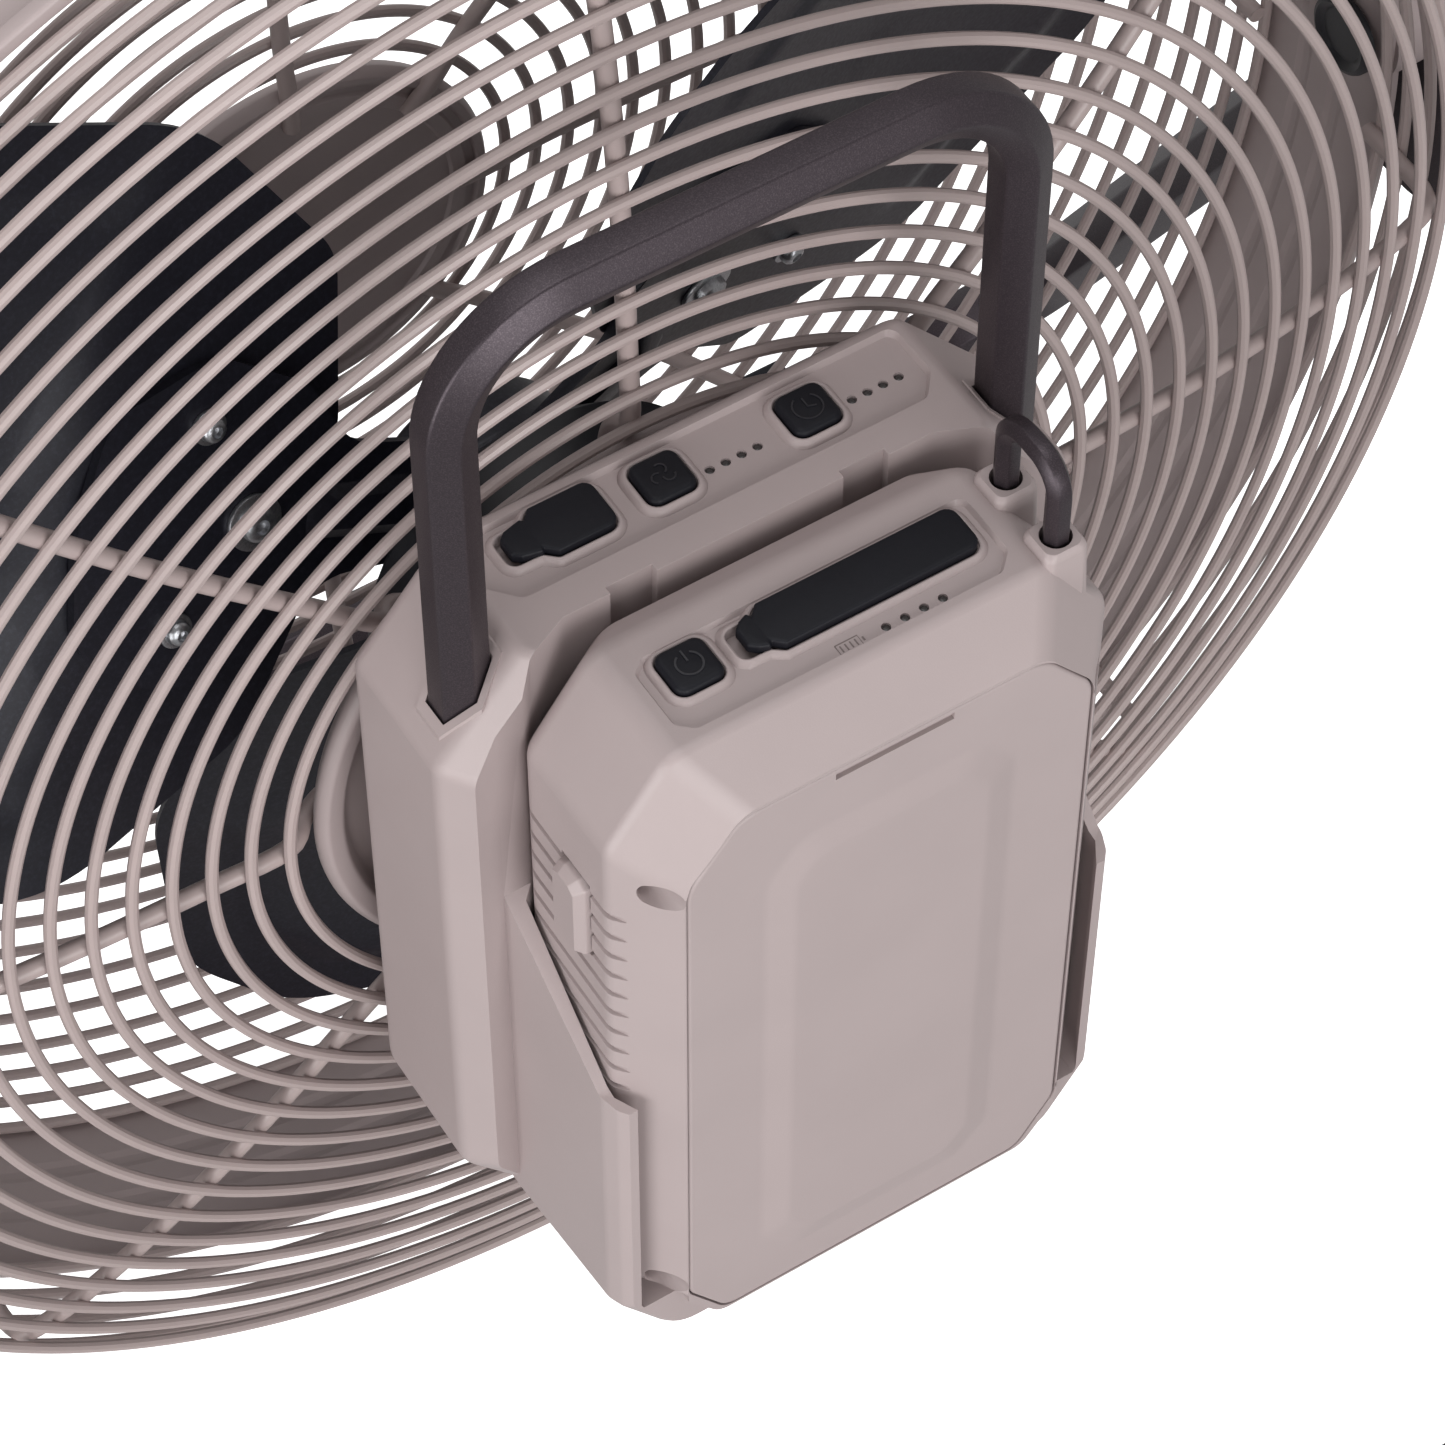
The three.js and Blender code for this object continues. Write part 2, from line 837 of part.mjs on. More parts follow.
function softButton(x, y, top) {
  const s = buttonHalf;
  const c = 2.2;
  const plate = [
    [x - s + c, y - s],
    [x + s - c, y - s],
    [x + s, y - s + c],
    [x + s, y + s - c],
    [x + s - c, y + s],
    [x - s + c, y + s],
    [x - s, y + s - c],
    [x - s, y - s + c],
  ];
  return prismZ(plate, top - 8, top);
}
add("speed_button", softButton(...speedAt, 350.6), RUBBER);
add("timer_button", softButton(...timerAt, 350.6), RUBBER);

function lightPipe([x, y], count, pitch, base, top) {
  const bar = box(x - pitch * (count - 1) - 1.5, x + 1.5, y - 1.5, y + 1.5, base - 2, base);
  const posts = [];
  for (let i = 0; i < count; i++) posts.push(barZ(0.8, base - 1, top, x - pitch * i, y, 8));
  return union([bar, ...posts]);
}
add("speed_light_pipe", lightPipe(speedLamps, 4, lampPitch, 338, 348.6), LAMP);
add("timer_light_pipe", lightPipe(timerLamps, 4, lampPitch, 338, 348.6), LAMP);

// Flap with a finger tab over the charging socket, hinged along its far side.
function flap(x0, x1, tab, y0, y1, z0, z1) {
  const m = (y0 + y1) / 2;
  return prismZ(
    [
      [x0, y0],
      [x1, y0],
      [x1, m - 3.2],
      [tab, m - 2.4],
      [tab, m + 2.4],
      [x1, m + 3.2],
      [x1, y1],
      [x0, y1],
    ],
    z0,
    z1,
  );
}
add("dc_cover", flap(20.8, 36.8, 41.6, 45.8, 58, 348.8, 351.2), RUBBER);
add("control_board", box(-42, 42, 40, 42, 225, 328), BOARD);
add("dock_terminal", box(-16, 16, 60, 74.6, 210, 217), DARK);

// ---------------------------------------------------------------- battery pack
const packPlan = [
  [-BATTERY_X, BATTERY_Y0 + 6],
  [-50, BATTERY_Y0],
  [50, BATTERY_Y0],
  [BATTERY_X, BATTERY_Y0 + 6],
  [BATTERY_X, 110],
  [47, BATTERY_Y1],
  [-47, BATTERY_Y1],
  [-BATTERY_X, 110],
];
const packFront = [
  [-39, BATTERY_Z0],
  [39, BATTERY_Z0],
  [47, 171],
  [54.4, 171],
  [BATTERY_X, 178],
  [BATTERY_X, 330],
  [43, TOP_Z],
  [-43, TOP_Z],
  [-BATTERY_X, 330],
  [-BATTERY_X, 178],
  [-54.4, 171],
  [-47, 171],
];
const packSide = [
  [BATTERY_Y0, BATTERY_Z0],
  [BATTERY_Y1 - 1.2, BATTERY_Z0],
  [BATTERY_Y1, BATTERY_Z0 + 1.2],
  [BATTERY_Y1, 339],
  [BATTERY_Y1 - 13, TOP_Z],
  [BATTERY_Y0 + 5, TOP_Z],
  [BATTERY_Y0, TOP_Z - 5],
];
const coverPlate = (grow) =>
  [
    [-37, 162 - grow],
    [37, 162 - grow],
    [46.2 + grow, 175],
    [46.2 + grow, 323],
    [33, 338.5 + grow],
    [-33, 338.5 + grow],
    [-46.2 - grow, 323],
    [-46.2 - grow, 175],
  ];
const loopX = -46.5;
const loopY = [89.4, 106.2];
let pack = prismZ(packPlan, 155, 355)
  .intersect(prismY(packFront, 70, 125))
  .intersect(prismX(packSide, -60, 60));
for (const y of loopY) pack = pack.add(barZ(5, 338, 351.5, loopX, y, 12));
pack = pack
  .subtract(prismY(coverPlate(GAP), BATTERY_Y1 - 2.6, 130))
  .subtract(box(-44, 44, 79, 121, 180, 322))
  .subtract(box(-37.5, 37.5, 86, 106.8, 349, 352));
for (const y of loopY) pack = pack.subtract(barZ(2.9, 343.5, 355, loopX, y, 12));
const powerAt = [28.2, 94];
pack = pack.subtract(box(powerAt[0] - 5.7, powerAt[0] + 5.7, powerAt[1] - 5.7, powerAt[1] + 5.7, 340, 352));
for (const x of [0, -22]) pack = pack.subtract(box(x - 6, x + 6, 92, 97, 338, 352));
const packLamps = [-8.5, 105.2];
const packLampPitch = 4.2;
for (let i = 0; i < 4; i++) {
  pack = pack.subtract(barZ(1.1, 332, 352, packLamps[0] - packLampPitch * i, packLamps[1], 8));
}
pack = pack.subtract(box(-24, -5.5, 102.8, 107.6, 318, 340));
const latchZ = [289, 312];
const latchY = [94.2, 105.6];
for (const side of [1, -1]) {
  const xs = side > 0 ? [51, 60] : [-60, -51];
  pack = pack.subtract(
    box(...xs, latchY[0] - GAP, latchY[1] + GAP, latchZ[0] - GAP, latchZ[1] + GAP),
  );
}
const coverScrews = [
  [50.4, 320],
  [50.4, 178],
];
const screwPlan = [];
for (const side of [1, -1]) {
  for (const [x, z] of coverScrews) screwPlan.push([side * x, z]);
}
for (const [x, z] of screwPlan) {
  pack = pack.subtract(barY(3.3, 107, 125, x, z, 12)).subtract(barY(1.6, 97, 109, x, z, 10));
}
add("battery_shell", pack, TAUPE);
const slit = box(-14, 14, BATTERY_Y1 - 1.2, 125, 333.2, 335.6);
const raised = prismY(
  [
    [-28, 176],
    [28, 176],
    [33, 182],
    [33, 314],
    [25, 324],
    [-25, 324],
    [-33, 314],
    [-33, 182],
  ],
  BATTERY_Y1 - 1,
  BATTERY_Y1 + 0.9,
);
add("battery_cover", prismY(coverPlate(0), BATTERY_Y1 - 2.3, BATTERY_Y1).subtract(slit).add(raised), TAUPE);
add("battery_cells", box(-42, 42, 81, 117, 184, 316), DARK);
add("power_button", softButton(...powerAt, 351), RUBBER);
add("port_cover", flap(-34.2, 12.6, 16.9, 88.7, 100, 349.3, 351.6), RUBBER);
add("battery_light_pipe", lightPipe(packLamps, 4, packLampPitch, 338, 349.2), LAMP);
const loopPath = rounded(
  [
    [loopY[0], 344],
    [loopY[0], 370.5],
    [loopY[1], 370.5],
    [loopY[1], 344],
  ],
  6.5,
  4,
);
const sideways = new THREE.Matrix4().makeBasis(
  new THREE.Vector3(0, 1, 0),
  new THREE.Vector3(0, 0, 1),
  new THREE.Vector3(1, 0, 0),
);
const loopGeometry = swept(
  regular(2.5, 6),
  loopPath.map(([y, z]) => [y, z, 0]),
);
add("battery_loop", loopGeometry.applyMatrix4(sideways).translate(loopX, 0, 0), PLUM);
for (const [side, name] of [
  [1, "left"],
  [-1, "right"],
]) {
  const xs = side > 0 ? [54.4, 60.0] : [-60.0, -54.4];
  add(`battery_latch_${name}`, box(...xs, latchY[0], latchY[1], latchZ[0], latchZ[1]), TAUPE);
}
const corner = ["top_left", "bottom_left", "top_right", "bottom_right"];
screwPlan.forEach(([x, z], i) => {
  const head = barY(2.9, 107.3, 109.4, x, z, 12);
  const shank = barY(1.3, 98, 108.5, x, z, 8);
  add(`cover_screw_${corner[i]}`, head.add(shank), STEEL);
});

export default group;
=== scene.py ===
# A cordless drum fan seen from behind and above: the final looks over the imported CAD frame.
# Sizes are in millimetres in the CAD frame (+Z up, air leaves toward -Y) and are turned to metres
# when a mesh is made.
import math

import bmesh
import bpy
from mathutils import Matrix, Vector


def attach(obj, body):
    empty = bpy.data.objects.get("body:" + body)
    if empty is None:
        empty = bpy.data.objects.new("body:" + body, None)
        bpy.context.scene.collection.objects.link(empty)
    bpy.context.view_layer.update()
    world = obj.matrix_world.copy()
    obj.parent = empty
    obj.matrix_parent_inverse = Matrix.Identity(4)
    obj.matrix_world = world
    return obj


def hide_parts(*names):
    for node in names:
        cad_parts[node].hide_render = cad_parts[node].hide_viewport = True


MM = 0.001
GRAIN_DEPTH = 0.0002
AXIS_Z = 252.6

# Guards
DRUM_R = 227.0
WIRE_R = 1.4
SPOKE_R = 2.1
WELD = 3.0
FIRST_RING = 84.9
RING_PITCH = 9.0
REAR_RINGS = 16
FRONT_FIRST_RING = 54.8
FRONT_PITCH = 8.7
FRONT_RINGS = 19

# Rotor
ROTOR_Y = -33.0
BLADE_FIRST = 63.8
BLADE_PITCH = 17.5

# Housing and battery
HANDLE_X = 62.4
HANDLE_Y = 66.3
HANDLE_TOP = 436.7

# Camera
CAMERA_AT = (342.6, 596.4, 1137.1)
CAMERA_AZIMUTH = 147.57
CAMERA_ELEVATION = 54.44
CAMERA_LENS = 131.06
CAMERA_SHIFT = (0.0079, 0.0514)

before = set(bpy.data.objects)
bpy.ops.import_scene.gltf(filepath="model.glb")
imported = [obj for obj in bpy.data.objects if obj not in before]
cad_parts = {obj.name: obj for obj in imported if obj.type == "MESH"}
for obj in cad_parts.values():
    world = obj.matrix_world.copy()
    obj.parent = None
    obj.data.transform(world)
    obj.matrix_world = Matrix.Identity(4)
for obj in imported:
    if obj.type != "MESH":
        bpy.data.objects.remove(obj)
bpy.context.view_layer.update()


# ------------------------------------------------------------------ materials
def new_material(name):
    made = bpy.data.materials.new(name)
    made.use_nodes = True
    nodes = made.node_tree.nodes
    links = made.node_tree.links
    shader = nodes["Principled BSDF"]
    place = nodes.new("ShaderNodeTexCoord")
    return made, nodes, links, shader, place


def noise_node(nodes, links, place, scale, detail=2.0, roughness=0.5):
    n = nodes.new("ShaderNodeTexNoise")
    n.inputs["Scale"].default_value = scale
    n.inputs["Detail"].default_value = detail
    n.inputs["Roughness"].default_value = roughness
    links.new(place.outputs["Object"], n.inputs["Vector"])
    return n


def ramp_node(nodes, links, source, stops):
    r = nodes.new("ShaderNodeValToRGB")
    r.color_ramp.elements[0].position = stops[0][0]
    r.color_ramp.elements[0].color = (*stops[0][1], 1.0)
    r.color_ramp.elements[1].position = stops[-1][0]
    r.color_ramp.elements[1].color = (*stops[-1][1], 1.0)
    for at, colour in stops[1:-1]:
        e = r.color_ramp.elements.new(at)
        e.color = (*colour, 1.0)
    links.new(source, r.inputs["Fac"])
    return r


def shade(value, factor):
    return tuple(c * factor for c in value)


def surface(nodes, links, shader, source, low, high, bump):
    """Roughness from low to high and a fine bump, both driven by one noise."""
    gloss = nodes.new("ShaderNodeMapRange")
    gloss.inputs["To Min"].default_value = low
    gloss.inputs["To Max"].default_value = high
    links.new(source.outputs["Fac"], gloss.inputs["Value"])
    links.new(gloss.outputs["Result"], shader.inputs["Roughness"])
    lump = nodes.new("ShaderNodeBump")
    lump.inputs["Strength"].default_value = bump
    lump.inputs["Distance"].default_value = GRAIN_DEPTH
    links.new(source.outputs["Fac"], lump.inputs["Height"])
    links.new(lump.outputs["Normal"], shader.inputs["Normal"])


def plastic(name, colour, roughness, grain, bump, specular=0.5, mottle=0.05):
    """A moulded or coated surface, faintly mottled, with a fine grain."""
    made, nodes, links, shader, place = new_material(name)
    broad = noise_node(nodes, links, place, 34.0, 3.0)
    tint = ramp_node(
        nodes,
        links,
        broad.outputs["Fac"],
        [(0.3, shade(colour, 1 - mottle)), (0.7, shade(colour, 1 + mottle))],
    )
    links.new(tint.outputs["Color"], shader.inputs["Base Color"])
    fine = noise_node(nodes, links, place, grain, 3.0, 0.6)
    surface(nodes, links, shader, fine, roughness - 0.05, roughness + 0.07, bump)
    shader.inputs["Specular IOR Level"].default_value = specular
    return made


def speckled(name, dark, light, roughness, metallic, grain, bump):
    """A coat or bare metal with fine flakes from dark to light."""
    made, nodes, links, shader, place = new_material(name)
    flake = noise_node(nodes, links, place, grain, 2.0, 0.7)
    tint = ramp_node(
        nodes,
        links,
        flake.outputs["Fac"],
        [(0.32, dark), (0.52, shade(dark, 1.25)), (0.68, light)],
    )
    links.new(tint.outputs["Color"], shader.inputs["Base Color"])
    surface(nodes, links, shader, flake, roughness + 0.1, roughness - 0.08, bump)
    shader.inputs["Metallic"].default_value = metallic
    return made


TAUPE = plastic("taupe_plastic", (0.40, 0.332, 0.329), 0.42, 2600.0, 0.10, 0.45, 0.02)
WIRE = plastic("guard_wire_coat", (0.40, 0.325, 0.315), 0.36, 700.0, 0.12, 0.5, 0.03)
PLUM = speckled("plum_coat", (0.040, 0.031, 0.037), (0.080, 0.063, 0.072), 0.36, 0.6, 3600.0, 0.16)
RUBBER = plastic("soft_rubber", (0.0058, 0.0060, 0.0098), 0.50, 3200.0, 0.16, 0.26, 0.12)
ENGRAVED = plastic("rubber_mark", (0.014, 0.014, 0.019), 0.34, 3200.0, 0.1, 0.6, 0.05)
BLACK = plastic("black_plastic", (0.016, 0.016, 0.020), 0.4, 2400.0, 0.12, 0.5, 0.1)
BLADE = speckled("blade_coat", (0.0125, 0.0125, 0.019), (0.023, 0.023, 0.034), 0.34, 0.25, 900.0, 0.10)
STEEL = speckled("zinc_steel", (0.42, 0.43, 0.45), (0.62, 0.62, 0.64), 0.30, 0.95, 1500.0, 0.08)
COPPER = speckled("copper_winding", (0.30, 0.10, 0.04), (0.45, 0.18, 0.08), 0.38, 0.9, 2200.0, 0.4)
BOARD = plastic("circuit_board", (0.018, 0.075, 0.035), 0.42, 900.0, 0.2, 0.5, 0.2)
LENS = plastic("lamp_lens", (0.055, 0.050, 0.050), 0.22, 900.0, 0.02, 0.5, 0.05)
PRINT = plastic("panel_print", (0.19, 0.155, 0.15), 0.5, 1600.0, 0.02, 0.3, 0.02)


# ------------------------------------------------------------------ mesh tools
class Solid:
    """Vertices in millimetres and faces, gathered and then made into one object."""

    def __init__(self):
        self.verts = []
        self.faces = []

    def put(self, verts, faces):
        base = len(self.verts)
        self.verts.extend(Vector(v) for v in verts)
        self.faces.extend([base + i for i in f] for f in faces)
        return self

    def add(self, other):
        return self.put(other.verts, other.faces)

    def moved(self, matrix):
        out = Solid()
        return out.put([matrix @ v for v in self.verts], self.faces)

    def make(self, name, look, sharp=32.0):
        mesh = bpy.data.meshes.new(name)
        mesh.from_pydata([v * MM for v in self.verts], [], self.faces)
        mesh.materials.append(look)
        obj = bpy.data.objects.new(name, mesh)
        bpy.context.scene.collection.objects.link(obj)
        smooth(obj, sharp)
        return obj


def smooth(obj, sharp=32.0):
    b = bmesh.new()
    b.from_mesh(obj.data)
    bmesh.ops.recalc_face_normals(b, faces=b.faces)
    for f in b.faces:
        f.smooth = True
    for e in b.edges:
        e.smooth = not (len(e.link_faces) == 2 and e.calc_face_angle(0.0) > math.radians(sharp))
    b.to_mesh(obj.data)
    b.free()


def apply_modifiers(obj):
    graph = bpy.context.evaluated_depsgraph_get()
    mesh = bpy.data.meshes.new_from_object(obj.evaluated_get(graph))
    obj.modifiers.clear()
    obj.data = mesh
    return obj


def boolean(obj, cutter, how="DIFFERENCE"):
    """Cuts obj with the cutter, or joins them, and removes the cutter."""
    m = obj.modifiers.new("cut", "BOOLEAN")
    m.operation = how
    m.solver = "EXACT"
    m.object = cutter
    apply_modifiers(obj)
    bpy.data.objects.remove(cutter)
    return obj


def bevel(obj, width, segments=3, angle=30.0):
    b = bmesh.new()
    b.from_mesh(obj.data)
    bmesh.ops.remove_doubles(b, verts=b.verts, dist=1e-6)
    bmesh.ops.dissolve_limit(
        b, angle_limit=math.radians(0.6), verts=b.verts, edges=b.edges, delimit={"MATERIAL"}
    )
    b.to_mesh(obj.data)
    b.free()
    m = obj.modifiers.new("edge", "BEVEL")
    m.width = width * MM
    m.segments = segments
    m.limit_method = "ANGLE"
    m.angle_limit = math.radians(angle)
    m.miter_outer = "MITER_ARC"
    m.harden_normals = False
    apply_modifiers(obj)
    return obj


def weighted(obj, sharp=32.0):
    smooth(obj, sharp)
    m = obj.modifiers.new("normals", "WEIGHTED_NORMAL")
    m.keep_sharp = True
    m.weight = 80
    return apply_modifiers(obj)


def arc_corner(a, p, b, radius, pieces):
    """The corner a-p-b rounded to pieces + 1 points."""
    a, p, b = Vector(a), Vector(p), Vector(b)
    u, v = (a - p).normalized(), (b - p).normalized()
    half = math.acos(max(-1.0, min(1.0, u.dot(v)))) / 2
    if radius <= 0 or half > math.pi / 2 - 1e-3:
        return [tuple(p)] * (pieces + 1)
    reach = min(radius / math.tan(half), 0.49 * (a - p).length, 0.49 * (b - p).length)
    radius = reach * math.tan(half)
    middle = p + (u + v).normalized() * (radius / math.sin(half))
    start, stop = p + u * reach - middle, p + v * reach - middle
    a0, a1 = math.atan2(start.y, start.x), math.atan2(stop.y, stop.x)
    turn = (a1 - a0 + math.pi) % (2 * math.pi) - math.pi
    out = []
    for k in range(pieces + 1):
        t = a0 + turn * k / pieces
        out.append((middle.x + radius * math.cos(t), middle.y + radius * math.sin(t)))
    return out


def rounded(corners, radius, pieces=5, closed=True):
    n = len(corners)
    radii = radius if isinstance(radius, (list, tuple)) else [radius] * n
    out = []
    for i in range(n):
        if not closed and i in (0, n - 1):
            out.append(tuple(corners[i]))
            continue
        out.extend(arc_corner(corners[i - 1], corners[i], corners[(i + 1) % n], radii[i], pieces))
    return out


def inset(corners, d):
    """A convex outline, anticlockwise, moved in by d."""
    n = len(corners)
    lines = []
    for i in range(n):
        a, b = Vector(corners[i]), Vector(corners[(i + 1) % n])
        along = (b - a).normalized()
        normal = Vector((-along.y, along.x))
        lines.append((a + normal * d, along))
    out = []
    for i in range(n):
        (p, u), (q, v) = lines[i - 1], lines[i]
        cross = u.x * v.y - u.y * v.x
        if abs(cross) < 1e-6:
            out.append(tuple(q))
            continue
        w = q - p
        out.append(tuple(p + u * ((w.x * v.y - w.y * v.x) / cross)))
    return out


def mirrored(half):
    """An outline from its left half, listed from the bottom up."""
    other = [(-x, z) for x, z in half]
    return [other[0]] + half + other[:0:-1]


def soften(stations, reach, pieces=4):
    """Each middle station of (position, outline) replaced by a short curve."""
    out = [stations[0]]
    reaches = reach if isinstance(reach, (list, tuple)) else [reach] * len(stations)
    for i in range(1, len(stations) - 1):
        here = [Vector((*p, stations[i][0])) for p in stations[i][1]]
        before = [Vector((*p, stations[i - 1][0])) for p in stations[i - 1][1]]
        after = [Vector((*p, stations[i + 1][0])) for p in stations[i + 1][1]]
        r = reaches[i]
        if r <= 0:
            out.append(stations[i])
            continue

        def toward(other):
            sizes = [(o - h).length for o, h in zip(other, here)]
            typical = sorted(sizes)[len(sizes) // 2]
            f = min(0.48, r / max(typical, 1e-6))
            return [h.lerp(o, f) for o, h in zip(other, here)]

        a, c = toward(before), toward(after)
        for k in range(pieces + 1):
            t = k / pieces
            curve = [
                u * (1 - t) ** 2 + h * (2 * t * (1 - t)) + w * t * t for u, h, w in zip(a, here, c)
            ]
            out.append(curve)
    out.append(stations[-1])
    return out


def ring_points(station, axis):
    if isinstance(station, tuple):
        position, outline = station
        points = [Vector((*p, position)) for p in outline]
    else:
        points = station
    if axis == "y":
        return [Vector((p.x, p.z, p.y)) for p in points]
    if axis == "x":
        return [Vector((p.z, p.x, p.y)) for p in points]
    return [Vector(p) for p in points]


def loft(stations, axis, reach=0.0, pieces=4):
    """A skin through stations of (position along the axis, outline), closed at both ends."""
    levels = soften(stations, reach, pieces) if reach else list(stations)
    loops = [ring_points(s, axis) for s in levels]
    n = len(loops[0])
    out = Solid()
    faces = []
    for j in range(len(loops) - 1):
        for i in range(n):
            k = (i + 1) % n
            faces.append([j * n + i, j * n + k, (j + 1) * n + k, (j + 1) * n + i])
    faces.append(list(range(n))[::-1])
    faces.append([(len(loops) - 1) * n + i for i in range(n)])
    out.put([p for loop in loops for p in loop], faces)
    return out


def prism(outline, low, high, axis):
    return loft([(low, outline), (high, outline)], axis)


def block(x0, x1, y0, y1, z0, z1):
    return prism([(x0, y0), (x1, y0), (x1, y1), (x0, y1)], z0, z1, "z")


def lathe(profile, segments=192, centre=(0.0, 0.0, AXIS_Z), axis="y"):
    """A closed profile of (radius, position) turned about an axis through centre."""
    out = Solid()
    n = len(profile)
    verts, faces = [], []
    for s in range(segments):
        a = 2 * math.pi * s / segments
        for r, y in profile:
            u, v = r * math.cos(a), r * math.sin(a)
            if axis == "y":
                verts.append((centre[0] + u, centre[1] + y, centre[2] + v))
            elif axis == "z":
                verts.append((centre[0] + u, centre[1] + v, centre[2] + y))
            else:
                verts.append((centre[0] + y, centre[1] + u, centre[2] + v))
    for s in range(segments):
        t = (s + 1) % segments
        for i in range(n):
            k = (i + 1) % n
            if profile[i][0] < 1e-6 and profile[k][0] < 1e-6:
                continue
            faces.append([s * n + i, s * n + k, t * n + k, t * n + i])
    out.put(verts, faces)
    return out


def weld(obj):
    b = bmesh.new()
    b.from_mesh(obj.data)
    bmesh.ops.remove_doubles(b, verts=b.verts, dist=1e-6)
    bmesh.ops.dissolve_degenerate(b, edges=b.edges, dist=1e-7)
    b.to_mesh(obj.data)
    b.free()
    return obj


def smooth_path(points, steps):
    """Catmull-Rom curve through points, steps to each span."""
    p = [Vector(q) for q in points]
    p = [p[0] * 2 - p[1]] + p + [p[-1] * 2 - p[-2]]
    out = []
    for i in range(1, len(p) - 2):
        for k in range(steps):
            t = k / steps
            a, b, c, d = p[i - 1 : i + 3]
            out.append(
                0.5
                * (
                    2 * b
                    + (c - a) * t
                    + (2 * a - 5 * b + 4 * c - d) * t * t
                    + (3 * b - 3 * c + d - a) * t**3
                )
            )
    out.append(p[-2])
    return out


def sweep(points, section, plane, closed=False, cap=True):
    """A section swept along a path lying in the plane with that normal."""
    pts = [Vector(p) for p in points]
    n, m = len(pts), len(section)
    side = Vector(plane).normalized()
    verts, faces = [], []
    for i, p in enumerate(pts):
        a = pts[i - 1] if closed or i > 0 else p
        b = pts[(i + 1) % n] if closed or i < n - 1 else p
        along = (b - a).normalized()
        up = along.cross(side).normalized()
        for s, t in section:
            verts.append(p + side * s + up * t)
    for i in range(n if closed else n - 1):
        j = (i + 1) % n
        for k in range(m):
            q = (k + 1) % m
            faces.append([i * m + k, i * m + q, j * m + q, j * m + k])
    if cap and not closed:
        faces.append(list(range(m))[::-1])
        faces.append([(n - 1) * m + k for k in range(m)])
    return Solid().put(verts, faces)


def circle(radius, sides, start=0.0):
    return [
        (
            radius * math.cos(start + 2 * math.pi * i / sides),
            radius * math.sin(start + 2 * math.pi * i / sides),
        )
        for i in range(sides)
    ]


def hexagon(flat_x, flat_y, fillet, pieces=3):
    """A hexagon with two points on the first axis: half widths to the points and to the flats."""
    a, b = flat_x, flat_y
    corners = [(a, 0), (a / 2, b), (-a / 2, b), (-a, 0), (-a / 2, -b), (a / 2, -b)]
    return rounded(corners, fillet, pieces)


def place(obj, body, *stands_for, slot=None):
    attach(obj, body)
    if stands_for:
        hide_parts(*stands_for)
    return obj


def recolour(look, *names):
    for name in names:
        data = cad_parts[name].data
        data.materials.clear()
        data.materials.append(look)


# ------------------------------------------------------------------ drum band
drum_profile = rounded(
    [
        (DRUM_R, -60.2), (DRUM_R + 1.6, -61.0), (DRUM_R + 4.4, -61.0), (DRUM_R + 4.4, -57.4),
        (DRUM_R + 1.9, -55.8), (DRUM_R + 1.9, -46.0), (DRUM_R + 3.1, -44.6), (DRUM_R + 1.9, -43.2),
        (DRUM_R + 1.9, -33.8), (DRUM_R + 3.1, -32.4), (DRUM_R + 1.9, -31.0), (DRUM_R + 1.9, -21.2),
        (DRUM_R + 4.4, -19.6), (DRUM_R + 4.4, -16.0), (DRUM_R + 1.2, -16.0), (DRUM_R, -17.2),
        (DRUM_R, -29.6), (DRUM_R + 0.7, -31.2), (DRUM_R + 0.7, -33.6), (DRUM_R, -35.2),
        (DRUM_R, -42.0), (DRUM_R + 0.7, -43.6), (DRUM_R + 0.7, -45.6), (DRUM_R, -47.2),
    ],
    0.9,
    3,
)
PIVOT_Y = -27.5
PIVOT_Z = 272.0
drum = lathe(drum_profile, 288)
for side in (1, -1):
    x0, x1 = sorted((side * 228.4, side * 237.6))
    boss = lathe(
        [(4.6, x0), (13.0, x0), (13.0, x1), (4.6, x1)],
        48,
        (0.0, PIVOT_Y, PIVOT_Z),
        "x",
    )
    drum.add(boss)
drum_band = drum.make("drum_band_rolled", TAUPE)
place(drum_band, "head", "drum_band", slot="taupe_plastic")

for side, name in ((1, "left"), (-1, "right")):
    face = side * 221.2
    cap = lathe(
        [
            (0.0, face + side * 1.2),
            (6.6, face + side * 1.2),
            (7.4, face + side * 0.4),
            (8.6, face),
            (9.6, face + side * 0.4),
            (10.0, face + side * 1.2),
            (10.0, face + side * 3.0),
            (3.9, face + side * 3.0),
            (3.9, side * 232.4),
            (0.0, side * 232.4),
        ],
        48,
        (0.0, PIVOT_Y, PIVOT_Z),
        "x",
    )
    place(weld(cap.make(f"pivot_cap_{name}_face", BLACK)), "head", f"pivot_cap_{name}", slot="black_plastic")


# ------------------------------------------------------------------ guards
def rear_dome(r):
    t = (r - 116.0) / 116.0
    return 29.6 - 4.2 * t - 6.9 * t * t - 6.3 * t**3


FRONT_SHAPE = [
    (50.0, -115.6), (56.0, -116.4), (66.0, -117.0), (116.0, -117.0), (135.0, -114.6),
    (152.0, -110.8), (168.0, -107.0), (184.0, -104.4), (200.0, -103.2), (210.0, -101.8),
    (217.0, -98.6), (222.0, -94.0),
]


def front_dome(r):
    for (r0, y0), (r1, y1) in zip(FRONT_SHAPE, FRONT_SHAPE[1:]):
        if r <= r1:
            t = (r - r0) / (r1 - r0)
            t = max(0.0, t)
            return y0 + (y1 - y0) * t
    return FRONT_SHAPE[-1][1]


def wire_ring(r, y, wire=WIRE_R, segments=224, sides=10):
    profile = [(r + u, y + v) for u, v in circle(wire, sides)]
    return lathe(profile, segments)


